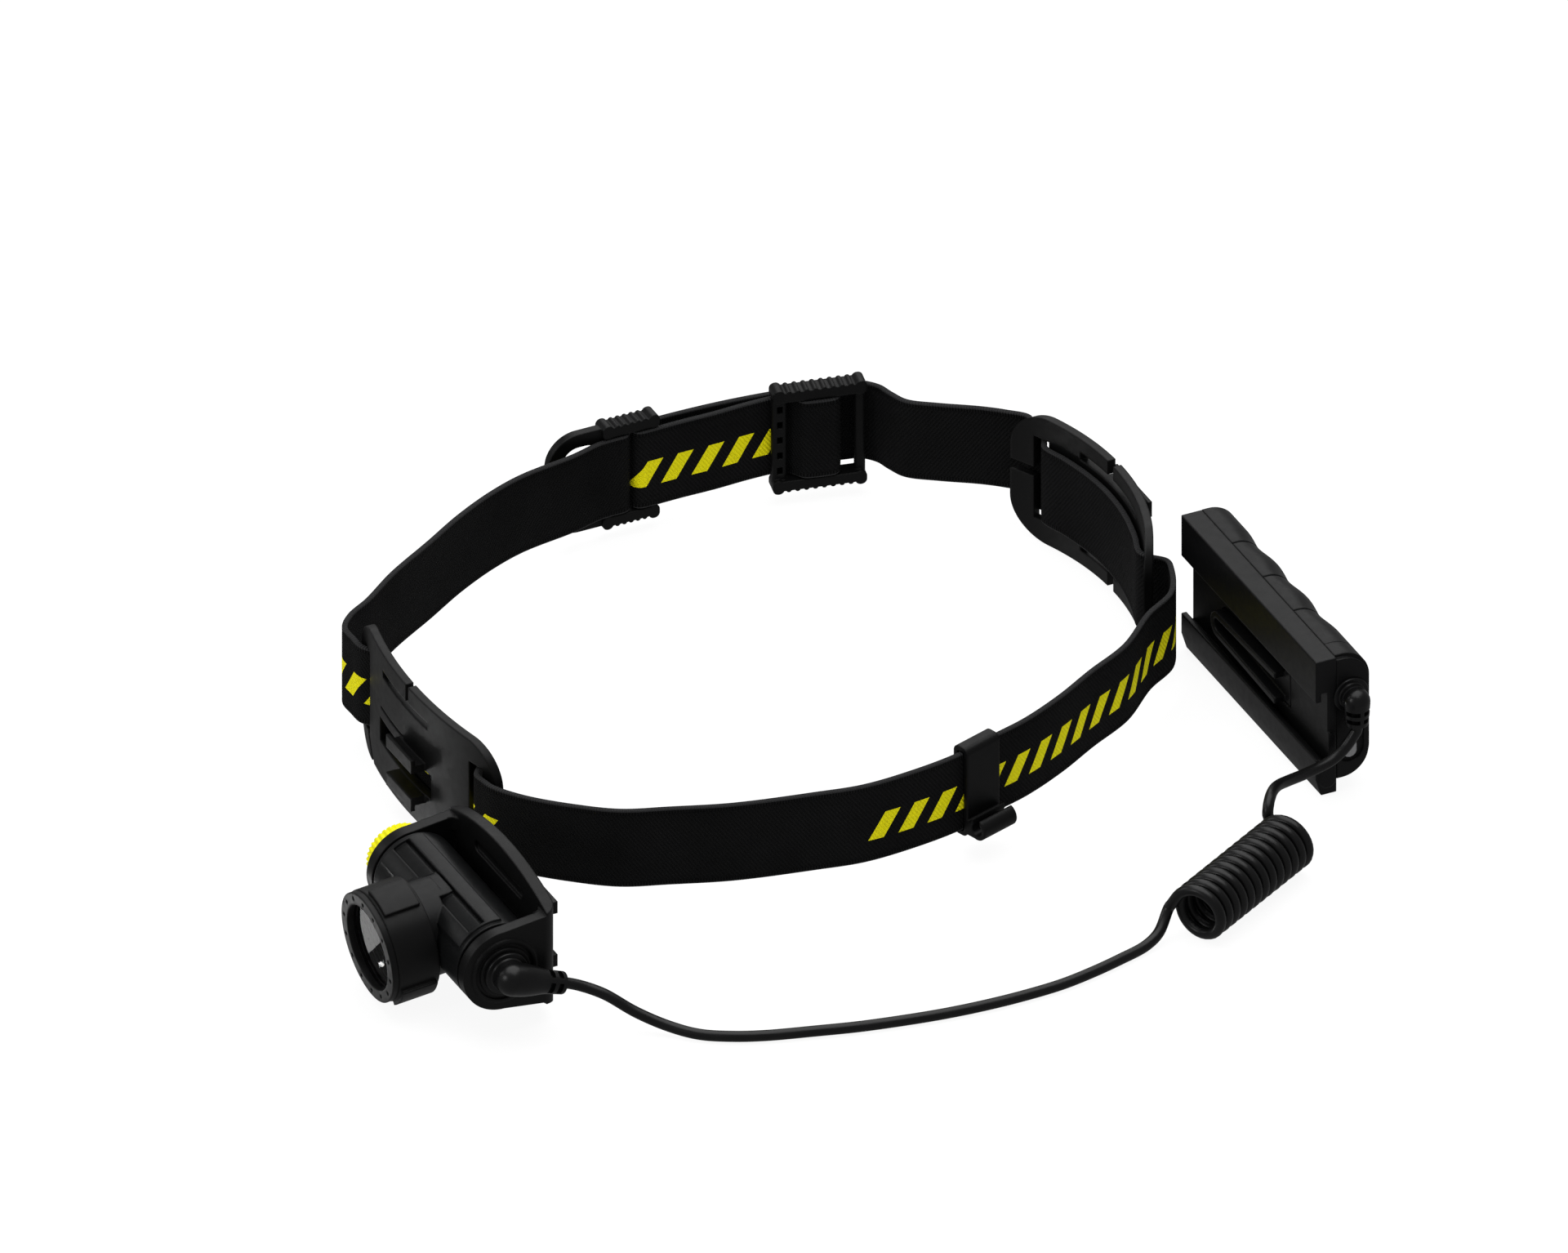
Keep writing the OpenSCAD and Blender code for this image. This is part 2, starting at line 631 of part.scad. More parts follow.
module head_housing() {
    color("#2b2b2b") difference() {
        union() {
            barrel() rod_x(-barrel_half, barrel_half, barrel_r, 0, 0);
            for (s = [0, 1]) {
                barrel() mirror([s, 0, 0])
                rod_x(barrel_half - 1, bracket_w / 2 - 0.3, trunnion_r, 0, 0);
            }
            optic() cylinder_at(neck_lo, neck_hi, neck_r);
            // raised panel on top, with a long seam and two sunk bands in front of it
            barrel() intersection() {
                rod_x(-pad_half, pad_half, barrel_r + 0.7, 0, 0);
                box([-pad_half, -11, 4], [pad_half, 2, barrel_r + 1]);
            }
            optic() intersection() {
                cylinder_at(0, neck_lo + 1, neck_r);
                box([-pad_gap, 0, -3], [pad_gap, barrel_r + 0.7, neck_lo + 1]);
            }
        }
        barrel() rod_x(-barrel_half + 2, barrel_half - 2, cavity_r, 0, 0);
        barrel() rod_x(-bracket_w / 2, bracket_w / 2, trunnion_bore, 0, 0);
        optic() cylinder_at(neck_lo + 1, neck_hi + 1, neck_bore);
        barrel() difference() {
            for (x = [-pad_half + 0.9, pad_gap]) {
                box([x, -7.6, 4], [x + pad_half - 0.9 - pad_gap, -3.4, barrel_r + 2]);
            }
            rod_x(-pad_half - 1, pad_half + 1, barrel_r - 0.1, 0, 0);
        }
        barrel() difference() {
            box([-pad_half + 0.9, -3.5, 4], [pad_half - 0.9, -2.7, barrel_r + 2]);
            rod_x(-pad_half - 1, pad_half + 1, barrel_r - 0.9, 0, 0);
        }
        barrel() box([-cover_half, cover_y, -cover_z], [cover_half, barrel_r + 1, cover_z]);
    }
}

module rear_cover() {
    g = cover_gap;
    color("#242424") barrel() difference() {
        intersection() {
            rod_x(-cover_half + g, cover_half - g, barrel_r, 0, 0);
            box([-cover_half, cover_y + g, -cover_z + g], [cover_half, barrel_r + 1, cover_z - g]);
        }
        rod_x(-cover_half + 2.4, cover_half - 2.4, cavity_r, 0, 0);
        for (x = [-cover_half + 4, cover_half - 4]) {
            translate([x, barrel_r - 1, 0]) rotate([-90, 0, 0]) cylinder(h = 3, r = 2.1);
        }
    }
}

module cover_screws() {
    color("#9a9a9a") for (x = [-cover_half + 4, cover_half - 4]) {
        barrel() translate([x, barrel_r - 1, 0]) rotate([-90, 0, 0]) difference() {
            cylinder(h = 0.8, r = 1.9);
            translate([-1.4, -0.25, 0.3]) cube([2.8, 0.5, 1]);
        }
    }
}

sink_z = neck_lo + 1.2;
sink_t = 3;
board_t = 1.2;
led_z = sink_z + sink_t + board_t;
module heat_sink() {
    color("#b9bcc0") optic() {
        cylinder_at(sink_z, sink_z + sink_t, neck_bore - 0.2);
        for (x = [-6, -2, 2, 6]) {
            box([x - 0.7, -5.5, -2.5], [x + 0.7, 5.5, sink_z + e]);
        }
        box([-6.7, -2, 1], [6.7, 2, sink_z + e]);
    }
}

module led_board() {
    color("#e8e8e2") optic() cylinder_at(led_z - board_t, led_z, 8);
}

module led_emitter() {
    color("#f5d85a") optic() {
        box([-1.75, -1.75, led_z], [1.75, 1.75, led_z + 0.7]);
        intersection() {
            translate([0, 0, led_z + 0.4]) sphere(r = 1.3);
            cylinder_at(led_z + 0.4, led_z + 3, 2);
        }
    }
}

module driver_board() {
    color("#1f5a34") barrel() {
        box([-18.2, 6.6, -6.6], [18.2, 7.8, 6.6]);
        box([-18.2, 5.9, -4], [-14, 6.6 + e, 4]);
        box([-11, 4.4, -4], [-4, 6.6 + e, 3]);
        box([3, 5.2, -5], [9, 6.6 + e, 1]);
    }
}

encoder_x = -barrel_half + 3.2;
module dimmer_encoder() {
    color("#3b3f46") barrel() difference() {
        union() {
            box([encoder_x, -5, -5], [encoder_x + 4, 5, 5]);
            box([encoder_x + 1, 4.9, -4], [-14, 5.9, 4]);
        }
        rod_x(encoder_x - 1, encoder_x + 5, 1.6, 0, 0);
    }
}

wheel_in = -bracket_w / 2 - 0.4;
function rib_outline(n, r, depth) = [
    for (i = [0:n - 1]) each [
        (r - depth) * [cos(360 * i / n), sin(360 * i / n)],
        r * [cos(360 * (i + 0.3) / n), sin(360 * (i + 0.3) / n)],
        r * [cos(360 * (i + 0.7) / n), sin(360 * (i + 0.7) / n)]
    ]
];
module wheel_knob() {
    color("#f4e60a") barrel() difference() {
        union() {
            along_x(wheel_in - wheel_w, wheel_in - 0.8) polygon(rib_outline(wheel_ribs, wheel_r, 0.45));
            rod_x(wheel_in - 0.9, wheel_in, wheel_r - 0.9, 0, 0);
        }
        rod_x(wheel_in - wheel_w - 1, wheel_in - wheel_w + 0.8, wheel_r - 2.2, 0, 0);
        rod_x(wheel_in - 4, wheel_in + 1, trunnion_bore - run_gap, 0, 0);
    }
}

module wheel_shaft() {
    color("#a8abb0") barrel() {
        rod_x(wheel_in - 4, -barrel_half + 2.2 + e, trunnion_bore - run_gap, 0, 0);
        rod_x(-barrel_half + 2.2, encoder_x - 0.3, 4.4, 0, 0);
        rod_x(encoder_x - 0.4, encoder_x + 3.6, 1.55, 0, 0);
    }
}

bezel_lo = barrel_r + 0.4;
module focus_ring() {
    pads = 3;
    color("#242424") optic() difference() {
        union() {
            cylinder_at(bezel_lo, face_reach - ring_t, bezel_r);
            for (i = [0:pads - 1]) rotate([0, 0, 77 + 360 * i / pads]) intersection() {
                cylinder_at(bezel_lo + 1, face_reach - ring_t - 0.6, bezel_r + pad_rise);
                linear_extrude(height = 40) polygon([[0, 0], [30, -9.6], [30, 9.6]]);
            }
        }
        cylinder_at(bezel_lo - 1, neck_hi + 0.4, neck_r + run_gap);
        cylinder_at(neck_hi, lens_z - gasket_t, opening_r);
        cylinder_at(lens_z - gasket_t - e, face_reach, opening_r + 0.9);
    }
}

module front_ring() {
    notches = 14;
    color("#2a2a2a") optic() difference() {
        cylinder_at(face_reach - ring_t, face_reach, bezel_r - 0.2);
        cylinder_at(face_reach - ring_t - 1, face_reach + 1, opening_r);
        for (i = [0:notches - 1]) rotate([0, 0, 360 * (i + 0.5) / notches]) {
            translate([(bezel_r + opening_r) / 2 - 0.1, 0, face_reach - 0.5]) cylinder(h = 2, r = 0.6, $fn = 16);
        }
    }
}

module front_lens() {
    color([0.9, 0.94, 0.96, 0.4]) optic() cylinder_at(lens_z, lens_z + lens_t, opening_r + 0.8);
}

module lens_gasket() {
    color("#111111") optic() difference() {
        cylinder_at(lens_z - gasket_t, lens_z, opening_r + 0.8);
        cylinder_at(lens_z - 2, lens_z + 1, opening_r);
    }
}

carrier_lo = 11.9;
carrier_hi = lens_z - gasket_t - lens_travel - 0.2;
module lens_carrier() {
    color("#1c1c1c") optic() difference() {
        cylinder_at(carrier_lo, carrier_hi, neck_bore - 0.08);
        cylinder_at(carrier_lo - 1, carrier_hi - 0.9, neck_bore - 1.3);
        cylinder_at(carrier_hi - 0.9 - e, carrier_hi + 1, neck_bore - 0.6);
    }
}

module collimator_lens() {
    lo = led_z + 1.9;
    color([0.93, 0.95, 0.97, 0.5]) optic() difference() {
        union() {
            translate([0, 0, lo]) cylinder(h = carrier_hi - 0.9 - lo, r1 = 5.4, r2 = neck_bore - 1.5);
            cylinder_at(carrier_hi - 0.9, carrier_hi, neck_bore - 0.7);
        }
        cylinder_at(lo - 1, lo + 2.6, 3);
    }
}

// ---- Battery box ----
box_x0 = rear_dock_x + box_off - box_len / 2;
box_x1 = box_x0 + box_len;
dock_y0 = rear_dock_y;
dock_slot_y = dock_y0 + lip_t + 0.2;
dock_floor_y = dock_y0 + 2 * lip_t + 2 * dock_gap;
floor_t = 2.8;
case_y = dock_floor_y + floor_t;
case_y1 = dock_y0 + box_depth;
case_x1 = box_x1 - cap_len;
tongue_x0 = box_x0 + 22;
tongue_x1 = box_x0 + 62;
tongue_z = 20.2;
tongue_gap = 0.35;
tongue_end = 3.9;
tongue_root = 5.2;

// The tongue's outline: narrow at its free end, wide at its root
module tongue_outline(grow) {
    translate([tongue_x0, tongue_z]) circle(r = tongue_end + grow);
    polygon([
        [tongue_x0, tongue_z - tongue_end - grow], [tongue_x1 + grow, tongue_z - tongue_root - grow],
        [tongue_x1 + grow, tongue_z + tongue_root + grow], [tongue_x0, tongue_z + tongue_end + grow]
    ]);
}

module dock_plate() {
    color("#232323") difference() {
        union() {
            along_x(box_x0, box_x1) polygon([
                [dock_y0, 5.4], [dock_y0, box_h], [case_y, box_h], [case_y, 0], [dock_y0 + 1.6, 0]
            ]);
            // arched boss on the end face
            along_x(box_x1 - e, box_x1 + 0.7) round_rect([dock_y0 + 1, 2.4], [case_y - 0.5, 20.4], 2.3);
        }
        // channel for the dock rails, open at the far end
        box([box_x0 - 1, dock_y0 - 1, rear_web_lo - dock_gap],
            [box_x1 + 2, dock_slot_y + e, rear_web_hi + dock_gap]);
        box([box_x0 - 1, dock_slot_y, rear_web_lo - rear_lip - dock_gap],
            [box_x1 + 2, dock_floor_y, rear_web_hi + rear_lip + dock_gap]);
        // opening for the latch tongue
        across_y(dock_floor_y - 1, case_y + 1) tongue_outline(tongue_gap);
    }
}

module latch_tongue() {
    color("#2a2a2a") {
        across_y(dock_floor_y, case_y - 0.4) tongue_outline(0);
        // raised rim, open at the root
        across_y(dock_y0 + 0.2, dock_floor_y + e) difference() {
            tongue_outline(0);
            translate([tongue_x0, tongue_z]) circle(r = tongue_end - 1.9);
            polygon([
                [tongue_x0, tongue_z - tongue_end + 1.9], [tongue_x1 + 1, tongue_z - tongue_root + 1.9],
                [tongue_x1 + 1, tongue_z + tongue_root - 1.9], [tongue_x0, tongue_z + tongue_end - 1.9]
            ]);
            translate([tongue_x1 - 3, 0]) square([9, box_h]);
        }
    }
}

// Cross-section of the case in (Y, Z), set in from its outside by s
module case_section(s) {
    lo = case_lift + s;
    hi = box_h - s;
    y1 = case_y1 - s;
    r = case_corner - s;
    translate([case_y, lo]) square([y1 - r - case_y, hi - lo]);
    translate([case_y, lo + r]) square([y1 - case_y, hi - lo - 2 * r]);
    for (z = [lo + r, hi - r]) intersection() {
        translate([y1 - r, z]) circle(r = r);
        translate([case_y, lo]) square([y1 - case_y, hi - lo]);
    }
}

module case_shell() {
    bulges = 4;
    rise = 1.1;
    pitch = (case_x1 - box_x0) / bulges;
    r = (pitch * pitch / 4 + rise * rise) / (2 * rise);
    color("#2b2b2b") difference() {
        intersection() {
            along_x(box_x0, case_x1) case_section(0);
            linear_extrude(height = box_h + 1) {
                translate([box_x0, case_y - 1]) square([case_x1 - box_x0, case_y1 - rise - case_y + 1]);
                for (i = [0:bulges - 1]) {
                    translate([box_x0 + pitch * (i + 0.5), case_y1 - r]) intersection() {
                        circle(r = r, $fn = 180);
                        translate([-pitch / 2, r - rise - 1]) square([pitch, rise + 2]);
                    }
                }
            }
        }
        // seams between the bulges
        for (i = [1:bulges - 1]) along_x(box_x0 + pitch * i - 0.3, box_x0 + pitch * i + 0.3) difference() {
            translate([case_y - 1, 0]) square([box_depth, box_h + 1]);
            case_section(0.45);
        }
        along_x(box_x0 + case_wall, case_x1 + 1) intersection() {
            case_section(case_wall);
            translate([case_y - 1, 0]) square([case_y1 - rise - case_wall - case_y + 1, box_h]);
        }
    }
}

gland_y = case_y1 - 6.5;
gland_z = 31;
lamp_z = 13;
groove_r = 4.1;
module pill(r) {
    for (z = [lamp_z, gland_z]) translate([gland_y, z]) circle(r = r);
    translate([gland_y - r, lamp_z]) square([2 * r, gland_z - lamp_z]);
}
module end_cap() {
    color("#2a2a2a") difference() {
        union() {
            along_x(case_x1, box_x1 - 1.5) case_section(0);
            along_x(box_x1 - 1.5 - e, box_x1) intersection() {
                case_section(0.9);
                translate([case_y, 0]) square([box_depth, box_h]);
            }
        }
        along_x(case_x1 - 1, box_x1 - 3) case_section(case_wall + 0.8);
        along_x(box_x1 - 0.9, box_x1 + 1) pill(groove_r);
        rod_x(box_x1 - 5, box_x1 + 1, 2.6, gland_y, gland_z);
        rod_x(box_x1 - 5, box_x1 + 1, 1.7, gland_y, lamp_z);
    }
}

module indicator_window() {
    color("#8f9296") {
        rod_x(box_x1 - 3, box_x1 - 0.9, 1.7, gland_y, lamp_z);
        along_x(box_x1 - 0.9, box_x1 - 0.3) translate([gland_y, lamp_z])
        round_rect([-2, -2.8], [2, 2.8], 1.9);
    }
}

module case_gasket() {
    t = 0.8;
    color("#151515") along_x(case_x1 + 0.4, case_x1 + 1.6) difference() {
        intersection() {
            case_section(case_wall + 0.8);
            translate([case_y + 0.8, 0]) square([box_depth, box_h]);
        }
        intersection() {
            case_section(case_wall + 0.8 + t);
            translate([case_y + 0.8 + t, 0]) square([box_depth, box_h]);
        }
    }
}

pack_y = case_y + 1.9;
module battery_pack() {
    z0 = case_lift + case_wall + 2.2;
    z1 = box_h - case_wall - 2.2;
    y1 = case_y1 - 1.1 - case_wall - 0.3;
    color("#3d6fa8") along_x(box_x0 + case_wall + 0.3, case_x1 - 16)
    round_rect([pack_y, z0], [y1, z1], 2.4);
}

module charge_board() {
    color("#1f5a34") {
        box([case_x1 - 15.6, pack_y + 1, case_lift + 5.6], [case_x1 - 1, pack_y + 2.2, box_h - 8]);
        box([case_x1 - 16, pack_y + 1, case_lift + 10.6], [case_x1 - 15.5, pack_y + 2.2, box_h - 14]);
        box([case_x1 - 12, pack_y + 2.2, box_h - 26], [case_x1 - 6, pack_y + 4, box_h - 19]);
        box([case_x1 - 4, pack_y, lamp_z - 2], [box_x1 - 3.1, pack_y + 1, lamp_z + 2]);
    }
}

box_boot_x = 4;
box_boot_len = 7.5;
box_exit = [box_x1 + box_boot_x, gland_y, gland_z - box_boot_len];
module box_boot() {
    color("#202020") {
        rod_x(box_x1 - 3, box_x1 - 0.9, 2.5, gland_y, gland_z);
        rod_x(box_x1 - 0.9, box_x1 + 0.8, groove_r - 0.2, gland_y, gland_z);
        rod_x(box_x1 + 0.8, box_x1 + box_boot_x, 3.8, gland_y, gland_z);
        translate([box_x1 + box_boot_x, gland_y, gland_z]) {
            sphere(r = 3.8);
            difference() {
                translate([0, 0, -box_boot_len]) cylinder(h = box_boot_len, r1 = 3.2, r2 = 3.8);
                for (z = [-5, -2.4]) {
                    box([-5, -1.4, z - 1], [-2.2, 1.4, z]);
                    box([2.2, -1.4, z - 1], [5, 1.4, z]);
                    box([-1.4, -5, z - 1], [1.4, -2.2, z]);
                }
            }
        }
    }
}

// ---- Cord ----
lamp_end = lamp_exit + [
    -boot_len * sin(boot_turn[2]) * cos(boot_turn[0]), boot_len * cos(boot_turn[0]) * cos(boot_turn[2]),
    boot_len * sin(boot_turn[0])
];
// Free stretch on the ground, from the lamp's boot to the curly part
front_route = [
    [132.7, -119.3, 13.3], [135.6, -114.2, 11], [140.6, -107, 6], [146, -99.8, 2.6],
    [152.2, -93.4, 1.6], [157.2, -85.8, 1.6], [161, -77, 1.6], [165.1, -63, 1.6],
    [168.2, -51.6, 1.6], [170.5, -40.3, 1.6], [172.4, -28.4, 1.6], [173.5, -16.5, 1.6],
    [173.8, -3.8, 1.6], [173.1, 8.9, 1.6], [171.2, 19, 1.6], [168.6, 28.8, 1.6],
    [165.2, 39, 1.7], [162.6, 44.2, 3.2]
];
// Free stretch from the curly part up to the box's boot
rear_route = [
    [136.8, 90.3, 14.6], [135, 91.6, 16.4], [131, 94.6, 16.6], [126.5, 99, 14.8],
    [122.5, 105, 13], [119.8, 111.5, 12.6], [118.3, 118, 13.8], [118, 123.2, 16.6],
    [118, 126.2, 20.2]
];
coil_mid = [155, 73.8];
coil_dir = [-0.506, 0.8625, 0];
coil_out = [-coil_dir[1], coil_dir[0], 0];
coil_z = curl_r + cord_d / 2 + 0.05;
curl_start = 30;
curl_rings = 8;
lead = cord_d;
coil_turn = curls * 360 - curl_start;
coil_len = coil_turn / 360 * curl_pitch;
function coil_at(a) =
    [coil_mid[0], coil_mid[1], coil_z] + coil_dir * ((a - curl_start) / 360 * curl_pitch - coil_len / 2)
    + curl_r * (cos(a) * coil_out + [0, 0, sin(a)]);
function coil_way(a) = unit(
    curl_pitch / (2 * PI * curl_r) * coil_dir - sin(a) * coil_out + [0, 0, cos(a)]
);
function unit(v) = v / norm(v);
coil_steps = ceil(coil_turn / 360 * curl_rings);
curl_line = [for (i = [0:coil_steps]) coil_at(curl_start + coil_turn * i / coil_steps)];
coil_first = curl_line[0] - lead * coil_way(curl_start);
coil_last = curl_line[coil_steps] + lead * coil_way(curls * 360);
coil_line = concat([coil_first], curl_line, [coil_last]);

// A round tube along a line: ring i is square to the directions on either side of it
function way(line, i, first, last) = let (m = len(line) - 1)
    i == 0 ? first : i == m ? last : unit(line[i + 1] - line[i - 1]);
function across(d, v) = unit(v - (v * d) * d);
function frames(dirs, i, v) = i == len(dirs) ? []
    : let (n = across(dirs[i], v)) concat([n], frames(dirs, i + 1, n));
module tube(line, d, sides, first, last, up) {
    dirs = [for (i = [0:len(line) - 1]) way(line, i, first, last)];
    ups = frames(dirs, 0, up);
    points = [
        for (i = [0:len(line) - 1], k = [0:sides - 1])
            line[i] + d / 2 * (cos(360 * k / sides) * ups[i] + sin(360 * k / sides) * cross(dirs[i], ups[i]))
    ];
    skin = [
        for (i = [0:len(line) - 2], k = [0:sides - 1])
            let (a = i * sides + k, b = i * sides + (k + 1) % sides)
            each [[a, b + sides, b], [a, a + sides, b + sides]]
    ];
    end = (len(line) - 1) * sides;
    caps = [
        for (k = [1:sides - 2]) each [[0, k, k + 1], [end, end + k + 1, end + k]]
    ];
    polyhedron(points = points, faces = concat(skin, caps));
}

lamp_way = unit(lamp_end - lamp_exit);
front_points = concat([lamp_end + 2 * lamp_way], front_route, [coil_first - 2 * coil_way(curl_start)]);
rear_points = concat([coil_last + [0, 0, 1]], rear_route, [box_exit - [0, 0, 2]]);
module cord_front() {
    color("#1a1a1a") tube(
        concat([lamp_end], smooth(front_points, 2), [coil_first]),
        cord_d, 8, lamp_way, coil_way(curl_start), [0, 0, 1]
    );
}
module cord_coil() {
    color("#1a1a1a") tube(coil_line, cord_d, 6, coil_way(curl_start), coil_way(curls * 360), coil_dir);
}
module cord_rear() {
    color("#1a1a1a") tube(
        concat([coil_last], smooth(rear_points, 2), [box_exit]),
        cord_d, 8, coil_way(curls * 360), [0, 0, 1], coil_dir
    );
}
least_gap = min([
    for (i = [0:coil_steps], j = [i + curl_rings - 2:min(coil_steps, i + curl_rings + 2)])
        norm(curl_line[i] - curl_line[j]) - cord_d
]);
echo(least_gap_between_curls = least_gap);

headband_strap();
front_plate();
rear_plate();
strap_adjuster();
strap_buckle();
cable_clip();
bracket();
pivot_bushes();
lamp_boot();
head_housing();
rear_cover();
cover_screws();
heat_sink();
led_board();
led_emitter();
driver_board();
dimmer_encoder();
wheel_knob();
wheel_shaft();
focus_ring();
front_ring();
front_lens();
lens_gasket();
lens_carrier();
collimator_lens();
dock_plate();
case_shell();
end_cap();
case_gasket();
battery_pack();
charge_board();
indicator_window();
box_boot();
latch_tongue();
cord_front();
cord_coil();
cord_rear();
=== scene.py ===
import bpy
import bmesh
import math
import numpy as np
from mathutils import Matrix


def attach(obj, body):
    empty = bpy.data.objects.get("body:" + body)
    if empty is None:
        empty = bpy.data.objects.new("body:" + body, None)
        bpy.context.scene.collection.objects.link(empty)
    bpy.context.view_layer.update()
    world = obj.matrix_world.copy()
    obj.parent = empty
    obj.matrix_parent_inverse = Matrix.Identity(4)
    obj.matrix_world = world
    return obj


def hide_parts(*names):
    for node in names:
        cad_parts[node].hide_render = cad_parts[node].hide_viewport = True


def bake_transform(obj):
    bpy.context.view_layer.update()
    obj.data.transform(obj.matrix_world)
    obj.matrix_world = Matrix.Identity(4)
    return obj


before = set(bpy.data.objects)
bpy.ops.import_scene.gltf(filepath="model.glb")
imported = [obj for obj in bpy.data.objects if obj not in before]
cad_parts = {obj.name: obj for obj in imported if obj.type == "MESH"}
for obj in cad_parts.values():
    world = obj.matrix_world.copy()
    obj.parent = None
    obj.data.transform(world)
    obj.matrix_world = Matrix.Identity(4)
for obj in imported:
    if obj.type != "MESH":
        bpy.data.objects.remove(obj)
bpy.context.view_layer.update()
scene = bpy.context.scene

# ---- View ----
# A long lens looks down on the lamp from its left front, 32 degrees above the table,
# so that parallel edges stay parallel.
azimuth, elevation = math.radians(64.1), math.radians(32.3)
view_width, aim_right, aim_up, eye_back = 0.43636, 0.00636, 0.0198, 1.6


def standing(right, up, back, at):
    """The matrix that stands a thing at a point, with its own X, Y and Z along three directions."""
    turned = np.eye(4)
    turned[:3] = np.stack([right, up, back, at], axis=1)
    return Matrix(turned.tolist())


view_right = np.array((math.cos(azimuth), math.sin(azimuth), 0.0))
view_back = np.array((
    math.cos(elevation) * math.sin(azimuth), -math.cos(elevation) * math.cos(azimuth), math.sin(elevation)
))
view_up = np.cross(view_back, view_right)
lens_data = bpy.data.cameras.new("long_lens")
lens_data.type = "ORTHO"
lens_data.ortho_scale = view_width
lens_data.clip_end = 10
camera = bpy.data.objects.new("camera", lens_data)
scene.collection.objects.link(camera)
eye = aim_right * view_right + aim_up * view_up + eye_back * view_back
camera.matrix_world = standing(view_right, view_up, view_back, eye)
scene.camera = camera

# ---- Cord ----
# A round rubber lead, 3.2 mm thick: a plain stretch along the table, thirteen moulded
# curls, and a short stretch up to the battery box. It is one cord in three lengths.
cord_r = 0.0016


def eased(points, steps):
    """Centripetal Catmull-Rom: each span is cut into steps, blended between lines through its
    four nearest points."""
    p = np.asarray(points, float)
    p = np.vstack([2 * p[:1] - p[1:2], p, 2 * p[-1:] - p[-2:-1]])
    a, b, c, d = (q[:, None, :] for q in (p[:-3], p[1:-2], p[2:-1], p[3:]))

    def pace(u, v):
        return np.sqrt(np.maximum(np.linalg.norm(v - u, axis=2, keepdims=True), 1e-6))

    t1 = pace(a, b)
    t2 = t1 + pace(b, c)
    t3 = t2 + pace(c, d)
    t = t1 + (t2 - t1) * (np.arange(steps) / steps)[None, :, None]

    def between(u, v, tu, tv):
        return ((tv - t) * u + (t - tu) * v) / (tv - tu)

    low = between(between(a, b, 0, t1), between(b, c, t1, t2), 0, t2)
    high = between(between(b, c, t1, t2), between(c, d, t2, t3), t1, t3)
    return np.vstack([between(low, high, t1, t2).reshape(-1, p.shape[1]), p[-2]])


def skinned(name, grid, uv=None, crease=40):
    """Joins the rings of a grid of points (rings x points round) with quads, and closes the first
    and the last ring with a face each. The sum of the volumes between the middle and the quads
    tells whether the faces have to be turned to point outwards."""
    rows, cols = grid.shape[:2]
    r, c = (x.ravel() for x in np.meshgrid(np.arange(rows - 1), np.arange(cols), indexing="ij"))
    c1 = (c + 1) % cols
    quads = np.stack([r * cols + c, r * cols + c1, (r + 1) * cols + c1, (r + 1) * cols + c], axis=1)
    flat = grid.reshape(-1, 3)
    middle = flat.mean(axis=0)
    volume = sum(
        np.einsum("ij,ij->", x[:, 0] - middle, np.cross(x[:, 1] - middle, x[:, 2] - middle))
        for x in (flat[quads[:, :3]], flat[quads[:, [0, 2, 3]]])
    )
    first, last = list(range(cols)), list(range((rows - 1) * cols, rows * cols))
    if volume < 0:
        faces = quads[:, ::-1].tolist() + [first, last[::-1]]
    else:
        faces = quads.tolist() + [first[::-1], last]
    mesh = bpy.data.meshes.new(name)
    mesh.from_pydata(flat.tolist(), [], faces)
    if uv is not None:
        corner = np.zeros(len(mesh.loops), np.int32)
        mesh.loops.foreach_get("vertex_index", corner)
        layer = mesh.uv_layers.new(name="lengthwise")
        layer.data.foreach_set("uv", uv.reshape(-1, 2)[corner].ravel())
    mesh.shade_smooth()
    mesh.set_sharp_from_angle(angle=math.radians(crease))
    piece = bpy.data.objects.new(name, mesh)
    scene.collection.objects.link(piece)
    return piece


def tube(name, line, radius, sides, reference):
    """A round tube: a ring of points square to the line at each of its points, the first of a ring
    towards the reference. Its UV map holds the run along the line and the share of the turn."""
    way = np.gradient(line, axis=0)
    way /= np.linalg.norm(way, axis=1, keepdims=True)
    out = reference - (way @ reference)[:, None] * way
    out /= np.linalg.norm(out, axis=1, keepdims=True)
    side = np.cross(way, out)
    turn = np.linspace(0, 2 * math.pi, sides, endpoint=False)
    ring = out[:, None] * np.cos(turn)[None, :, None] + side[:, None] * np.sin(turn)[None, :, None]
    run = np.concatenate([[0], np.cumsum(np.linalg.norm(np.diff(line, axis=0), axis=1))])
    uv = np.stack(np.meshgrid(run, turn / (2 * math.pi), indexing="ij"), axis=2)
    return skinned(name, line[:, None] + radius * ring, uv=uv), float(run[-1])


def shading(name):
    """A new material and its Principled shader."""
    finish = bpy.data.materials.new(name)
    finish.use_nodes = True
    return finish, finish.node_tree.nodes["Principled BSDF"]


def wired(finish, kind, **values):
    """Adds a node with its settings filled. in_ and a name or number fills a socket, with a
    constant or with a link from another node's output."""
    node = finish.node_tree.nodes.new(kind)
    for key, value in values.items():
        if key.startswith("in_"):
            socket = node.inputs[int(key[3:])] if key[3:].isdigit() else node.inputs[key[3:]]
            if isinstance(value, bpy.types.NodeSocket):
                finish.node_tree.links.new(value, socket)
            else:
                socket.default_value = value
        else:
            setattr(node, key, value)
    return node


def noise(finish, scale, detail):
    """Noise over the piece's own coordinates, with about that many blots to the metre."""
    place = wired(finish, "ShaderNodeTexCoord").outputs["Object"]
    blots = wired(finish, "ShaderNodeTexNoise", in_Vector=place, in_Scale=scale, in_Detail=detail)
    return blots.outputs["Fac"]


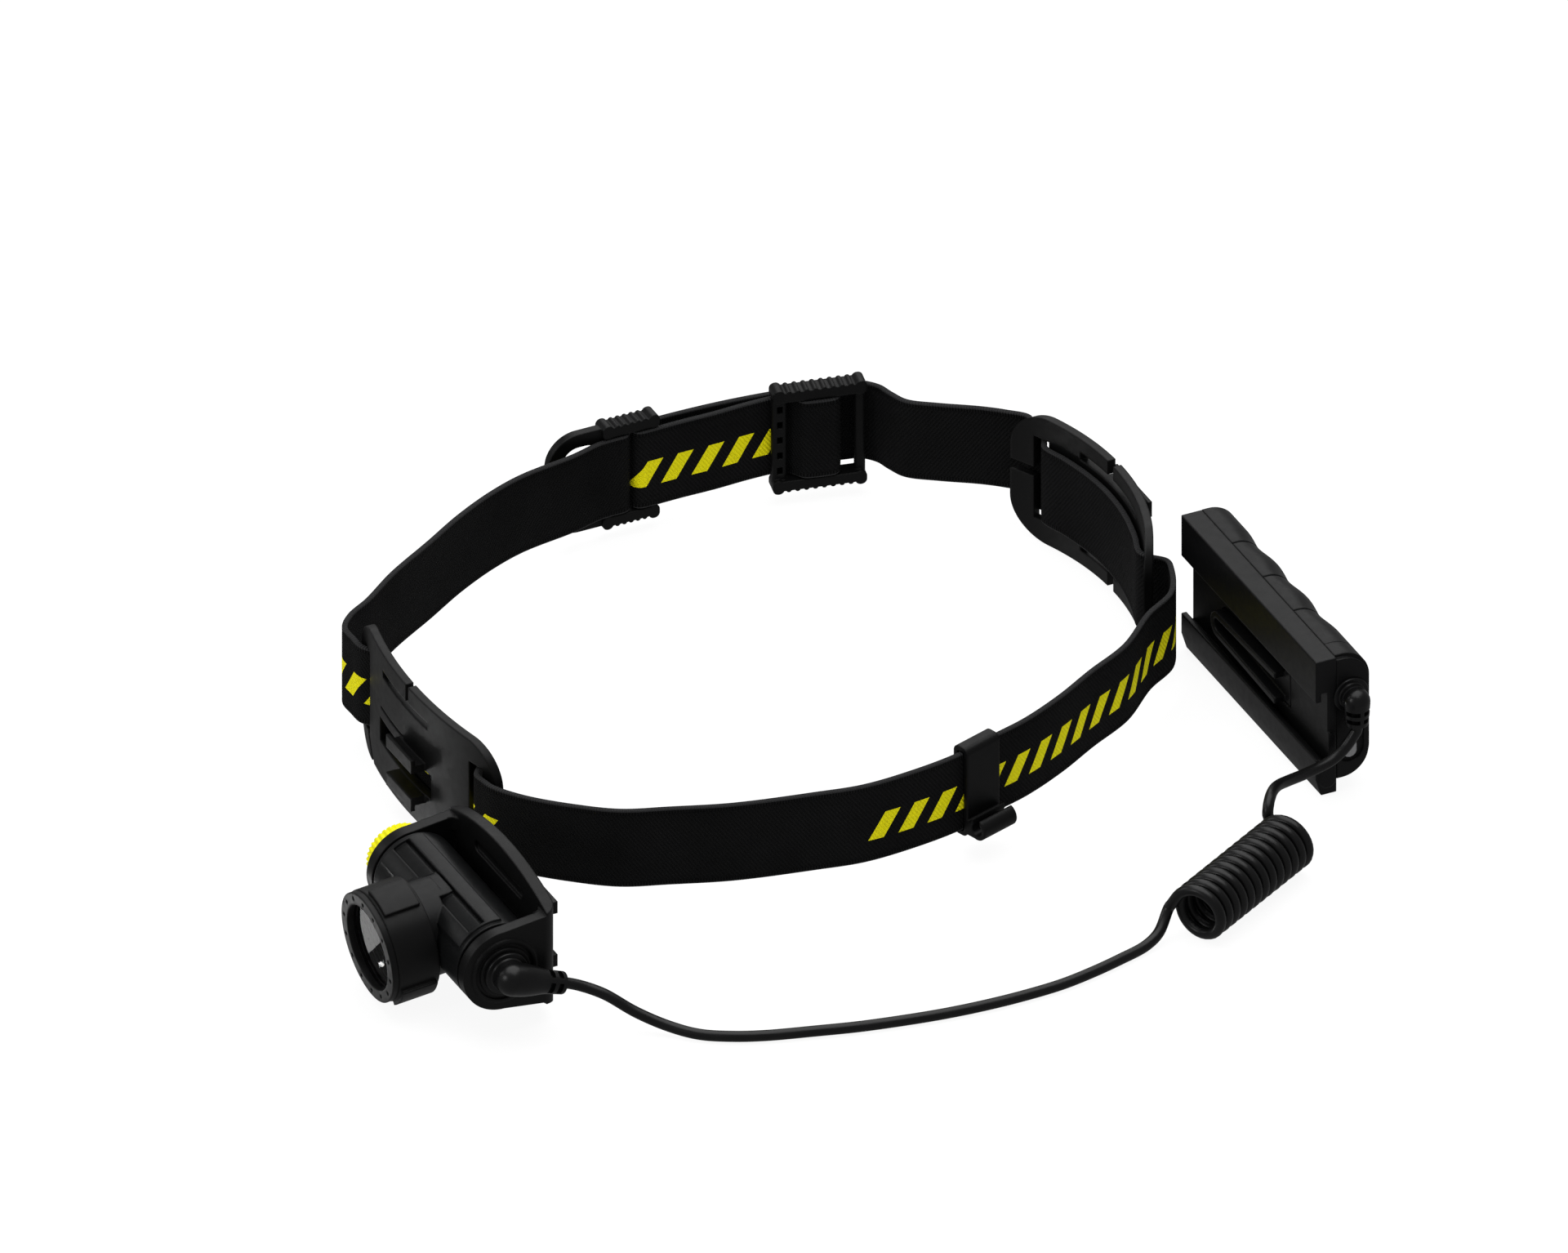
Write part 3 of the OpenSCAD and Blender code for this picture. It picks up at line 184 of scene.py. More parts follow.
def between_tones(finish, share, low, high):
    """A mix of two tones, or of two nodes' colours, by a share."""
    low, high = (x if isinstance(x, bpy.types.NodeSocket) else (*x, 1) for x in (low, high))
    return wired(finish, "ShaderNodeMix", data_type="RGBA", in_0=share, in_6=low, in_7=high).outputs[2]


def varied(finish, socket, share, low, high):
    """Lets a share from 0 to 1 move one of the shader's values from low to high."""
    shader = finish.node_tree.nodes["Principled BSDF"]
    value = wired(finish, "ShaderNodeMapRange", in_Value=share, in_3=low, in_4=high).outputs[0]
    finish.node_tree.links.new(value, shader.inputs[socket])


def rubber(name, tone, rough):
    """Moulded rubber: a soft cloud of two close tones, roughness that follows it, and a faint
    uneven skin."""
    finish, shader = shading(name)
    cloud = noise(finish, 160.0, 4.0)
    shade = between_tones(finish, cloud, [0.7 * x for x in tone], [1.3 * x for x in tone])
    finish.node_tree.links.new(shade, shader.inputs["Base Color"])
    varied(finish, "Roughness", cloud, rough - 0.07, rough + 0.09)
    shader.inputs["Specular IOR Level"].default_value = 0.25
    pores = noise(finish, 1500.0, 3.0)
    skin = wired(finish, "ShaderNodeBump", in_Height=pores, in_Strength=0.12, in_Distance=0.0002)
    finish.node_tree.links.new(skin.outputs[0], shader.inputs["Normal"])
    return finish


cord_rubber = rubber("cord rubber", (0.004, 0.004, 0.0042), 0.32)

# The curls are a helix, coil_r (cos a x out + sin a x up) moved along by coil_pitch a / 2 pi. At
# both ends the cord runs on in its own direction there, first_way and last_way.
coil_along = np.array((-0.506, 0.8625, 0.0))
coil_out = np.array((-0.8625, -0.506, 0.0))
coil_middle = np.array((0.155, 0.0738, 0.0089))
coil_r, coil_pitch, coil_turns, coil_start, turn_steps = 0.00725, 0.00365, 13, math.radians(30), 32
coil_total = coil_turns * 2 * math.pi - coil_start
coil_angle = np.linspace(coil_start, coil_turns * 2 * math.pi, turn_steps * coil_turns)[:, None]
curl = (
    coil_middle
    + coil_along * coil_pitch * ((coil_angle - coil_start) - coil_total / 2) / (2 * math.pi)
    + coil_r * (np.cos(coil_angle) * coil_out + np.sin(coil_angle) * np.array((0, 0, 1)))
)
first_way = coil_pitch / (2 * math.pi * coil_r) * coil_along - math.sin(coil_start) * coil_out
first_way = first_way + np.array((0, 0, math.cos(coil_start)))
first_way /= np.linalg.norm(first_way)
last_way = coil_pitch / (2 * math.pi * coil_r) * coil_along + np.array((0, 0, 1.0))
last_way /= np.linalg.norm(last_way)
coil_in, coil_end = curl[0] - 2 * cord_r * first_way, curl[-1] + 2 * cord_r * last_way
curl = np.vstack([coil_in, curl[0] - cord_r * first_way, curl, curl[-1] + cord_r * last_way, coil_end])

# The lamp tilts about a line along X through tilt_axis. Its boot points along lamp_way, which
# dips and swings away from +Y.
tilt_axis = np.array((0.095, -0.1407, 0.0207))
boot_dip, boot_swing, lamp_boot_length = math.radians(-18.5), math.radians(-2), 0.0164
lamp_way = np.array((
    -math.sin(boot_swing) * math.cos(boot_dip), math.cos(boot_dip) * math.cos(boot_swing),
    math.sin(boot_dip),
))
lamp_elbow = np.array((0.131, *tilt_axis[1:]))
lamp_end = lamp_elbow + lamp_boot_length * lamp_way
front_route = np.array([
    [132.7, -119.3, 13.3], [135.6, -114.2, 11], [140.6, -107, 6], [146, -99.8, 2.6],
    [152.2, -93.4, 1.6], [157.2, -85.8, 1.6], [161, -77, 1.6], [165.1, -63, 1.6],
    [168.2, -51.6, 1.6], [170.5, -40.3, 1.6], [172.4, -28.4, 1.6], [173.5, -16.5, 1.6],
    [173.8, -3.8, 1.6], [173.1, 8.9, 1.6], [171.2, 19, 1.6], [168.6, 28.8, 1.6],
    [165.2, 39, 1.7], [162.6, 44.2, 3.2],
]) / 1000
# Each of the two stretches leaves its boot and the curls with a straight stub.
stub, cord_steps = 0.002, 8
front_line = eased(np.vstack([
    lamp_end, lamp_end + stub * lamp_way, front_route, coil_in - stub * first_way, coil_in
]), cord_steps)
box_elbow, box_boot_length = np.array((0.118, 0.127, 0.031)), 0.0075
box_end = box_elbow - [0, 0, box_boot_length]
rear_route = np.array([
    [137.0, 90.2, 14.7], [136.1, 90.8, 16.5], [133.9, 92.4, 17.6], [130.6, 94.9, 17.4],
    [127, 98.2, 16.2], [123.6, 103, 14.5], [120.8, 108.8, 13.2], [118.9, 114.6, 12.9],
    [118.2, 119.6, 14], [118, 123.4, 16.6], [118, 126.2, 20.2],
]) / 1000
rear_line = eased(np.vstack([
    coil_end, coil_end + [0, 0, stub / 2], rear_route, box_end - [0, 0, stub], box_end
]), cord_steps)

lead_front, front_length = tube("lead_front", front_line, cord_r, 16, np.array((1.0, 0, 0)))
lead_coil, coil_length = tube("lead_coil", curl, cord_r, 14, coil_along)
lead_rear, rear_length = tube("lead_rear", rear_line, cord_r, 16, np.array((1.0, 0, 0)))
for lead, node, exit_at, length, path in (
    (lead_front, "cord_front", lamp_end, front_length, front_line),
    (lead_coil, "cord_coil", coil_in, coil_length, curl),
    (lead_rear, "cord_rear", coil_end, rear_length, rear_line),
):
    lead.data.materials.append(cord_rubber)
    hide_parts(node)
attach(lead_coil, "headband")
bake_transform(lead_front)
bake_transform(lead_rear)

# ---- Strap boots ----
# Rubber strain reliefs, moulded onto the cord: one on the lamp's arm, one on the box's end cap,
# each with two rows of slots that let its thin end bend.


def moulded_copy(node, name, edge, steps=2):
    """A copy of a node's solid: doubles merged, flat faces joined, and each edge sharper than 28
    degrees rounded to a radius of about edge."""
    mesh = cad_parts[node].data.copy()
    mesh.name = name
    work = bmesh.new()
    work.from_mesh(mesh)
    bmesh.ops.remove_doubles(work, verts=work.verts, dist=3e-6)
    bmesh.ops.dissolve_limit(work, angle_limit=0.012, verts=work.verts, edges=work.edges)
    for face in work.faces:
        face.smooth = True
    work.to_mesh(mesh)
    work.free()
    if "custom_normal" in mesh.attributes:
        mesh.attributes.remove(mesh.attributes["custom_normal"])
    piece = bpy.data.objects.new(name, mesh)
    scene.collection.objects.link(piece)
    soft = piece.modifiers.new("soft edges", "BEVEL")
    soft.width, soft.segments = edge, steps
    soft.limit_method, soft.angle_limit = "ANGLE", math.radians(28)
    soft.harden_normals = True
    soft.use_clamp_overlap = True
    mesh.materials.clear()
    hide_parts(node)
    return piece


def strain_relief(name, elbow, way, profile, windows, rib_at, half_width, gland):
    """A round-ended cone about the cord's way with two rows of sunk windows, grown onto a flange
    about X. profile and gland are (distance, radius) in millimetres and windows (from, to) along
    the way; a window reaches half_width degrees to each side of the middle between two ribs, and
    the four ribs stand 90 degrees apart, the first at rib_at."""
    window_depth = 1.3
    out = np.array((1.0, 0, 0)) - way[0] * way
    out /= np.linalg.norm(out)
    up = np.cross(out, way) if np.cross(out, way)[2] > 0 else np.cross(way, out)
    up = up if abs(way[2]) < 0.9 else np.array((0, -1.0, 0))
    turn = np.radians(np.arange(0, 360, 3.0))
    run, radius = profile[:, 0], np.broadcast_to(profile[:, 1:], (len(profile), len(turn)))
    from_window = np.abs((np.degrees(turn) - rib_at) % 90 - 45)
    rows = np.zeros(len(run), bool)
    for low, high in windows:
        rows |= (run > low - 0.01) & (run < high + 0.01)
    radius = radius - window_depth * (rows[:, None] & (from_window < half_width)[None, :])
    ring = np.cos(turn)[None, :, None] * out + np.sin(turn)[None, :, None] * up
    cone = skinned(name, elbow + (run[:, None, None] * way + radius[:, :, None] * ring) / 1000, crease=34)
    ring = np.stack([np.zeros_like(turn), np.cos(turn), np.sin(turn)], axis=1)
    rings = gland[:, None, :1] * (1, 0, 0) + gland[:, None, 1:] * ring[None]
    flange = skinned(name, np.array((0, elbow[1], elbow[2])) + rings / 1000, crease=34)
    both = bmesh.new()
    both.from_mesh(cone.data)
    both.from_mesh(flange.data)
    both.to_mesh(cone.data)
    both.free()
    bpy.data.objects.remove(flange)
    return cone


def round_end(r, profile):
    """Half a ball of radius r before a profile's first point."""
    a = np.radians(np.arange(-89, 0, 8.0))
    return np.vstack([np.stack([r * np.sin(a), r * np.cos(a)], axis=1), profile])


boot_rubber = rubber("boot rubber", (0.0035, 0.0035, 0.0037), 0.3)
lamp_boot = strain_relief(
    "boot_at_lamp", lamp_elbow, lamp_way,
    profile=round_end(4.88, np.array([
        (0, 4.88), (1.5, 4.86), (3, 4.78), (4.5, 4.62), (6, 4.38), (7.5, 4.08), (9, 3.76), (10, 3.58),
        (10.6, 3.5), (10.75, 3.48), (10.8, 3.48), (12.3, 3.4), (12.35, 3.4), (12.5, 3.4), (13.4, 3.36),
        (13.55, 3.35), (13.6, 3.35), (15, 3.3), (15.05, 3.3), (15.2, 3.3), (16, 3.28), (16.25, 3.18),
        (16.38, 2.95), (16.38, 1.5),
    ])),
    windows=((10.8, 12.3), (13.6, 15.0)), rib_at=35, half_width=30,
    gland=np.array([
        (122.0, 0.3), (122.0, 2.2), (127.0, 2.2), (127.0, 6.3), (127.2, 6.48), (127.9, 6.48),
        (128.15, 6.3), (128.2, 5.9), (128.3, 5.2), (128.7, 4.9), (131.0, 4.8), (131.0, 0.3),
    ]),
)
box_boot = strain_relief(
    "boot_at_box", box_elbow, np.array((0, 0, -1.0)),
    profile=round_end(3.78, np.array([
        (0, 3.78), (1, 3.76), (1.8, 3.7), (2.05, 3.68), (2.1, 3.68), (3.4, 3.62), (3.45, 3.62),
        (3.6, 3.6), (4.5, 3.54), (4.65, 3.52), (4.7, 3.52), (6.0, 3.42), (6.05, 3.42), (6.2, 3.4),
        (7.1, 3.34), (7.35, 3.25), (7.46, 3.05), (7.46, 1.5),
    ])),
    windows=((2.1, 3.4), (4.7, 6.0)), rib_at=0, half_width=34,
    gland=np.array([
        (111.2, 0.3), (111.2, 2.4), (113.1, 2.4), (113.1, 5.3), (114.5, 5.3), (114.75, 5.1),
        (114.8, 4.7), (114.85, 4.1), (115.2, 3.8), (115.9, 3.75), (116.1, 3.95), (116.5, 3.95),
        (116.7, 3.75), (118.0, 3.7), (118.0, 0.3),
    ]),
)
for boot, node, body in ((lamp_boot, "lamp_boot", "bracket"), (box_boot, "box_boot", "box")):
    boot.data.materials.append(boot_rubber)
    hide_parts(node)
    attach(boot, body)

# ---- Headband strap ----
# One length of knitted elastic, 25 mm wide, with ribbed selvages. Slanted yellow stripes are
# printed on its outer side; it is looped round the adjuster's and the buckle's bars.
strap_w, strap_t, strap_z = 25.0, 1.6, 8.0
ring_right, ring_left, front_reach, back_reach = 100.5, 92.0, 114.4, 114.8
plate_t, front_bend, rear_bend = 2.5, 150.0, 85.0
front_mid, rear_mid = np.array((11.0, front_bend - front_reach)), np.array((-6.0, back_reach - rear_bend))
plate_half, end_bar, half_slot, clearance = 42.5, 5, 2.8, 0.3
off = clearance + strap_t / 2
slot_s, step_s, rest_s = plate_half - end_bar - half_slot, 2.3, half_slot + end_bar - 1


def on_front(r, s):
    """A point on the front plate's bend: r from its centre, s along from its middle."""
    return front_mid + r * np.array((math.sin(s / front_bend), -math.cos(s / front_bend)))


def on_rear(r, s):
    """A point on the rear plate's bend: r from its centre, s along from its middle."""
    return rear_mid + r * np.array((math.sin(s / rear_bend), math.cos(s / rear_bend)))


def arc(centre, r, a0, a1):
    """Eight points of a turn round a bar."""
    a = np.radians(np.linspace(a0, a1, 8))
    return np.array(centre) + r * np.stack([np.cos(a), np.sin(a)], axis=1)


def reach(points):
    """Shares of the ring's reach on each side, as millimetres."""
    p = np.array(points)
    sideways = np.where(p[:, 0] > 0, ring_right, ring_left)
    endways = np.where(p[:, 1] > 0, back_reach, front_reach)
    return p * np.stack([sideways, endways], axis=1)


right_run = reach([
    [0.468, 0.906], [0.541, 0.814], [0.66, 0.701], [0.739, 0.576], [0.819, 0.458], [0.885, 0.337],
    [0.922, 0.237], [0.967, 0.121], [0.992, -0.009], [1, -0.149], [0.977, -0.27], [0.928, -0.47],
    [0.868, -0.619], [0.819, -0.731], [0.739, -0.825], [0.642, -0.912], [0.557, -0.962],
])
left_run = reach([
    [-0.402, -0.969], [-0.457, -0.933], [-0.513, -0.862], [-0.613, -0.757], [-0.722, -0.616],
    [-0.818, -0.495], [-0.893, -0.378], [-0.938, -0.278], [-0.971, -0.131],
])
rear_left_run = reach([
    [-0.872, 0.688], [-0.813, 0.707], [-0.751, 0.77], [-0.68, 0.854], [-0.63, 0.902], [-0.571, 0.944],
])
adj_x, adj_y, buck_x, buck_y = -ring_left + 1.4, 61.0, -ring_left - 2.6, 1.8
adj_swing, adj_hinge = math.radians(12), 47.0


def swung(points):
    """Points of the adjuster, turned with it about its front end."""
    p, c, s = np.array(points) - (adj_x, adj_hinge), math.cos(adj_swing), math.sin(adj_swing)
    return np.stack([adj_x + p[:, 0] * c + p[:, 1] * s, adj_hinge - p[:, 0] * s + p[:, 1] * c], axis=1)


bar_b = buck_y + 6.6
loop_r, wrap_r = 1.2 + off, 1.3 + off
run_x, layer = adj_x - wrap_r, strap_t + 0.7
route = np.vstack([
    swung([(adj_x - wrap_r, adj_y - 2), (adj_x - wrap_r, adj_y + 1)]),
    swung(arc((adj_x, adj_y + 2.7), wrap_r, 180, 0)),
    swung([
        (adj_x + wrap_r, adj_y - 2.6), (adj_x + 2, adj_y - 4.8),
        (adj_x, adj_y - 6.7), (adj_x - 2, adj_y - 8.8),
    ]),
    swung([(run_x, adj_y - 11.2)]), [(run_x + 0.2, adj_y - 19), (run_x + 0.6, adj_y - 31)],
    [(run_x + 0.5, adj_y - 41), (buck_x + loop_r, bar_b + 2)],
    arc((buck_x, bar_b), loop_r, 0, -180),
    [(buck_x - loop_r, bar_b + 4), (buck_x - loop_r, bar_b + 14), (run_x - layer - 1, adj_y - 25)],
    swung([(run_x - layer, adj_y - 11), (run_x - layer, adj_y), (run_x - layer, adj_y + 8)]),
    swung([(run_x - layer + 0.4, adj_y + 12.6), (run_x - layer + 3.6, adj_y + 17)]),
    rear_left_run,
    [on_rear(rear_bend + off + 0.3, -slot_s - rest_s), on_rear(rear_bend + off, -slot_s - step_s)],
    [on_rear(rear_bend - plate_t / 2, -slot_s), on_rear(rear_bend - plate_t - off, -slot_s + step_s)],
    [on_rear(rear_bend - plate_t - off - 0.4, s * slot_s / 3) for s in range(-2, 3)],
    [on_rear(rear_bend - plate_t - off, slot_s - step_s), on_rear(rear_bend - plate_t / 2, slot_s)],
    [on_rear(rear_bend + off + 2.5, slot_s + step_s), on_rear(rear_bend + off + 4, slot_s + rest_s)],
    right_run,
    [on_front(front_bend + off + 1.2, slot_s + rest_s), on_front(front_bend + off + 0.4, slot_s + step_s)],
    [on_front(front_bend - plate_t / 2, slot_s), on_front(front_bend - plate_t - off, slot_s - step_s)],
    [on_front(front_bend - plate_t - off - 0.4, s * slot_s / 3) for s in range(2, -3, -1)],
    [on_front(front_bend - plate_t - off, -slot_s + step_s), on_front(front_bend - plate_t / 2, -slot_s)],
    [on_front(front_bend + off, -slot_s - step_s), on_front(front_bend + off + 1.5, -slot_s - rest_s)],
    left_run,
    [(buck_x + loop_r + 0.3, buck_y - 7), (buck_x + loop_r, buck_y - 2)],
    arc((buck_x, buck_y), loop_r, 0, 180),
    [(buck_x - loop_r, buck_y - 3), (buck_x - loop_r, buck_y - 7)],
])
strap_line = eased(route, 8)
strap_run = np.concatenate([[0], np.cumsum(np.linalg.norm(np.diff(strap_line, axis=0), axis=1))])
along = np.gradient(strap_line, axis=0)
along /= np.linalg.norm(along, axis=1, keepdims=True)
outward = np.stack([-along[:, 1], along[:, 0]], axis=1)
# The cross-section is (half thickness, height), up the printed side and down the plain one, and
# is carried along the route square to it. The UV map holds the run and the height in strap widths.
half_section = np.array([
    (0.52, 0.0), (0.74, 0.1), (0.8, 0.35), (0.8, 1.3), (0.72, 1.5), (0.76, 1.8), (0.8, 2.3), (0.8, 7.5),
    (0.8, 12.5), (0.8, 17.5), (0.8, 22.7), (0.76, 23.2), (0.72, 23.5), (0.8, 23.7), (0.8, 24.65),
    (0.74, 24.9), (0.52, 25.0),
])
section = np.vstack([half_section, half_section[::-1] * [-1, 1]])
level = strap_line[:, None, :] + outward[:, None, :] * section[None, :, :1]
height = np.broadcast_to(strap_z + section[None, :, 1:], level.shape[:2] + (1,))
uv = np.stack(np.broadcast_arrays(strap_run[:, None] / strap_w, section[None, :, 1] / strap_w), axis=2)
strap = skinned("strap_webbing", np.concatenate([level, height], axis=2) / 1000, uv=uv, crease=60)


def run_at(x, y):
    """Distance along the strap of its point nearest (x, y)."""
    d = np.linalg.norm(strap_line - np.array((x, y)), axis=1)
    return float(strap_run[int(np.argmin(d))])


# The stripes lie between two heights. stripes_at holds (the run from which a print counts, the
# run at which one of its gaps starts). The tail under the adjuster is bare, and so is one length.
selvage_w, rim_w = 1.5, 0.45
stripe_pitch, stripe_gap, stripe_lean, stripe_low, stripe_high = 9.46, 0.49, 0.65, 6.9, 15.1
tail_end, rear_middle, bare_from, bare_to = run_at(-93.0, 48.5), run_at(-6, 27), 436.0, 544.0
stripes_at = ((0, 64.7), (rear_middle, 435.3), (bare_to, 551.2))


def webbing(name, printed):
    """Knitted elastic: dotted rows of loops, as the product of two slanted sine waves, and ribs
    along both selvages, whose rims are paler. The colour follows that relief: painted shade
    darkens the hollows between loops and ribs and the loop tops are painted lighter, under a
    random cloud of tone, and the yellow print is shaded the same way. On the printed side, yellow
    parallelograms show where the fraction of (run + lean x height - start) / pitch is above the
    gap's share. The print starts anew at three places and is left out over one length."""
    finish, shader = shading(name)
    uv_map = wired(finish, "ShaderNodeUVMap", uv_map="lengthwise").outputs[0]
    split = wired(finish, "ShaderNodeSeparateXYZ", in_0=uv_map)
    u, v = split.outputs[0], split.outputs[1]

    def maths(a, b=0.0, op="ADD"):
        return wired(finish, "ShaderNodeMath", operation=op, in_0=a, in_1=b).outputs[0]

    def wave(along_length, up_length=None):
        """A sine of the run, slanted by the height where a wave length up the strap is given too.
        Both are in millimetres."""
        phase = maths(u, strap_w * 2 * math.pi / along_length, "MULTIPLY")
        if up_length:
            phase = maths(phase, maths(v, strap_w * 2 * math.pi / up_length, "MULTIPLY"))
        return maths(phase, op="SINE")

    loops = maths(wave(0.9, 1.6), wave(3.6, 0.8), "MULTIPLY")
    ribs = wave(0.8)
    from_middle = maths(maths(v, -0.5), op="ABSOLUTE")
    selvage = maths(from_middle, 0.5 - selvage_w / strap_w, "GREATER_THAN")
    rim = maths(from_middle, 0.5 - rim_w / strap_w, "GREATER_THAN")
    relief = wired(finish, "ShaderNodeMix", data_type="FLOAT", in_0=selvage, in_2=loops, in_3=ribs)
    height = maths(relief.outputs[0], noise(finish, 2600.0, 4.0))
    # Painted shade and highlight: the black's tone follows the knit's relief, darker in its hollows and
    # lighter on its loops, times a random cloud.
    painted_knit_shading = wired(finish, "ShaderNodeMapRange", in_Value=height, in_1=-0.6, in_2=1.8, in_3=0.0, in_4=1.0)
    painted_knit_shading = maths(painted_knit_shading.outputs[0], noise(finish, 45.0, 3.0), "MULTIPLY")
    black = between_tones(finish, painted_knit_shading, (0.0006, 0.0006, 0.0007), (0.014, 0.014, 0.0145))
    colour = between_tones(finish, rim, black, (0.028, 0.028, 0.029))
    if printed:
        raised = maths(maths(v, strap_w * stripe_lean, "MULTIPLY"), -stripe_lean * stripe_low)
        slant = maths(maths(u, strap_w, "MULTIPLY"), raised)
        start = stripes_at[0][1]
        for (_, was), (edge, now) in zip(stripes_at, stripes_at[1:]):
            start = maths(start, maths(maths(slant, edge, "GREATER_THAN"), now - was, "MULTIPLY"))
        share = maths(maths(slant, start, "SUBTRACT"), stripe_pitch, "DIVIDE")
        bar = maths(maths(share, op="FRACT"), stripe_gap, "GREATER_THAN")
        shown = maths(maths(slant, bare_from, "LESS_THAN"), maths(slant, bare_to, "GREATER_THAN"))
        shown = maths(shown, maths(u, tail_end / strap_w, "GREATER_THAN"), "MULTIPLY")
        above, below = stripe_low / strap_w, stripe_high / strap_w
        band = maths(maths(v, above, "GREATER_THAN"), maths(v, below, "LESS_THAN"), "MULTIPLY")
        mask = maths(maths(bar, shown, "MULTIPLY"), band, "MULTIPLY")
        # Painted shade on the print: its yellow is darker in the knit's hollows and lighter on its loops.
        yellow = between_tones(finish, height, (0.9, 0.82, 0.002), (1.0, 0.94, 0.004))
        colour = between_tones(finish, mask, colour, yellow)
    finish.node_tree.links.new(colour, shader.inputs["Base Color"])
    bump = wired(finish, "ShaderNodeBump", in_Height=height, in_Strength=0.8, in_Distance=0.0003)
    finish.node_tree.links.new(bump.outputs[0], shader.inputs["Normal"])
    shader.inputs["Roughness"].default_value = 0.85
    shader.inputs["Specular IOR Level"].default_value = 0.12
    return finish


strap.data.materials.append(webbing("printed webbing", True))
strap.data.materials.append(webbing("plain webbing", False))
side_of = np.ones(len(strap.data.polygons), np.int32)
quad_col = np.arange((len(strap_line) - 1) * len(section)) % len(section)
side_of[:len(quad_col)] = quad_col >= len(half_section) - 1
strap.data.polygons.foreach_set("material_index", side_of)
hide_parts("headband_strap")
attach(strap, "headband")

# ---- Head plates ----
# Bent plates of satin black plastic that carry the strap in their end slots. The front one has
# two lipped rails for the lamp, the rear one two for the battery box.


def moulded(name, tone, rough, grain=0.1):
    """Moulded plastic: two close tones in a soft cloud, roughness that follows a finer one, and a
    fine eroded grain."""
    finish, shader = shading(name)
    cloud = noise(finish, 60.0, 5.0)
    shade = between_tones(finish, cloud, [0.78 * x for x in tone], [1.22 * x for x in tone])
    finish.node_tree.links.new(shade, shader.inputs["Base Color"])
    varied(finish, "Roughness", noise(finish, 420.0, 3.0), rough - 0.08, rough + 0.1)
    shader.inputs["Specular IOR Level"].default_value = 0.16
    edges = wired(finish, "ShaderNodeBevel", samples=6, in_Radius=0.0008).outputs[0]
    skin = wired(
        finish, "ShaderNodeBump",
        in_Height=noise(finish, 3600.0, 2.0), in_Strength=grain, in_Distance=0.00015, in_Normal=edges,
    )
    finish.node_tree.links.new(skin.outputs[0], shader.inputs["Normal"])
    return finish


plate_plastic = moulded("plate plastic", (0.003, 0.003, 0.0031), 0.4)
for node, name in (("front_plate", "plate_front"), ("rear_plate", "plate_rear")):
    plate = moulded_copy(node, name, 0.0009, 3)
    plate.data.materials.append(plate_plastic)
    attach(plate, "headband")

# ---- Strap fittings ----
# Injection-moulded glide and double-bar buckle with finger ribs, and the clip whose open hook
# leads the cord.
for node, name, edge in (
    ("strap_adjuster", "glide", 0.00035), ("strap_buckle", "buckle", 0.00035),
    ("cable_clip", "cord_clip", 0.0004),
):
    fitting = moulded_copy(node, name, edge)
    fitting.data.materials.append(plate_plastic)
    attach(fitting, "headband")

# ---- Lamp bracket ----
# A stiff fork of black plastic: crowned back bar, two round-ended arms and the dock behind,
# with pale bearing sleeves pressed into the arms.
bracket_plastic = moulded("bracket plastic", (0.0035, 0.0035, 0.0036), 0.38)
bracket = moulded_copy("bracket", "fork", 0.0008, 3)
bracket.data.materials.append(bracket_plastic)
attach(bracket, "bracket")
sleeve_plastic = moulded("bearing plastic", (0.24, 0.24, 0.22), 0.35, 0.05)
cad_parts["pivot_bushes"].data.materials[0] = sleeve_plastic

# ---- Lamp head ----
# The barrel with its neck and hollow trunnions is one moulding; a cover with two screws closes
# its service opening at the back.
head_plastic = moulded("head plastic", (0.004, 0.0042, 0.0044), 0.36)
for node, name in (("head_housing", "barrel"), ("rear_cover", "service_cover")):
    shell = moulded_copy(node, name, 0.0004, 3)
    shell.data.materials.append(head_plastic)
    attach(shell, "head")

# ---- Screws and shaft ----
# Plated steel, turned: the two screws of the service cover, and the shaft that runs through the
# hollow trunnion and carries the dimmer's wheel.


def metal(name, tone, rough, spread=0.1):
    """Turned metal: a fine cloud across the piece varies its roughness by the spread."""
    finish, shader = shading(name)
    varied(finish, "Roughness", noise(finish, 900.0, 3.0), rough - spread, rough + spread)
    shader.inputs["Base Color"].default_value = (*tone, 1)
    shader.inputs["Metallic"].default_value = 1.0
    return finish


plated_steel = metal("plated steel", (0.55, 0.55, 0.56), 0.3)
for node in ("cover_screws", "wheel_shaft"):
    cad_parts[node].data.materials[0] = plated_steel

# ---- Light engine ----
# Finned aluminium heat sink, white board with the emitter's phosphor dome, driver board and
# the dimmer's encoder, all inside the barrel.
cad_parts["heat_sink"].data.materials[0] = metal("machined aluminium", (0.75, 0.76, 0.78), 0.35)
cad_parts["led_board"].data.materials[0] = moulded("white solder mask", (0.75, 0.75, 0.72), 0.4, 0.03)
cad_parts["led_emitter"].data.materials[0] = moulded("phosphor", (0.85, 0.62, 0.08), 0.45, 0.05)
green_mask = moulded("green solder mask", (0.01, 0.09, 0.03), 0.3, 0.05)
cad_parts["driver_board"].data.materials[0] = green_mask
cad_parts["dimmer_encoder"].data.materials[0] = moulded("encoder plastic", (0.03, 0.032, 0.036), 0.5)

# ---- Dimmer wheel ----
# Bright yellow plastic with slanted grip ribs round its rim, pressed onto the shaft.
wheel_in, wheel_w = tilt_axis[0] - 0.0314, 0.0066
grips, grip_slant, grip_steepness, grip_depth = 36, 1.5, 1.4, 0.00028
turn = np.linspace(0, 2 * math.pi, 8 * grips, endpoint=False)
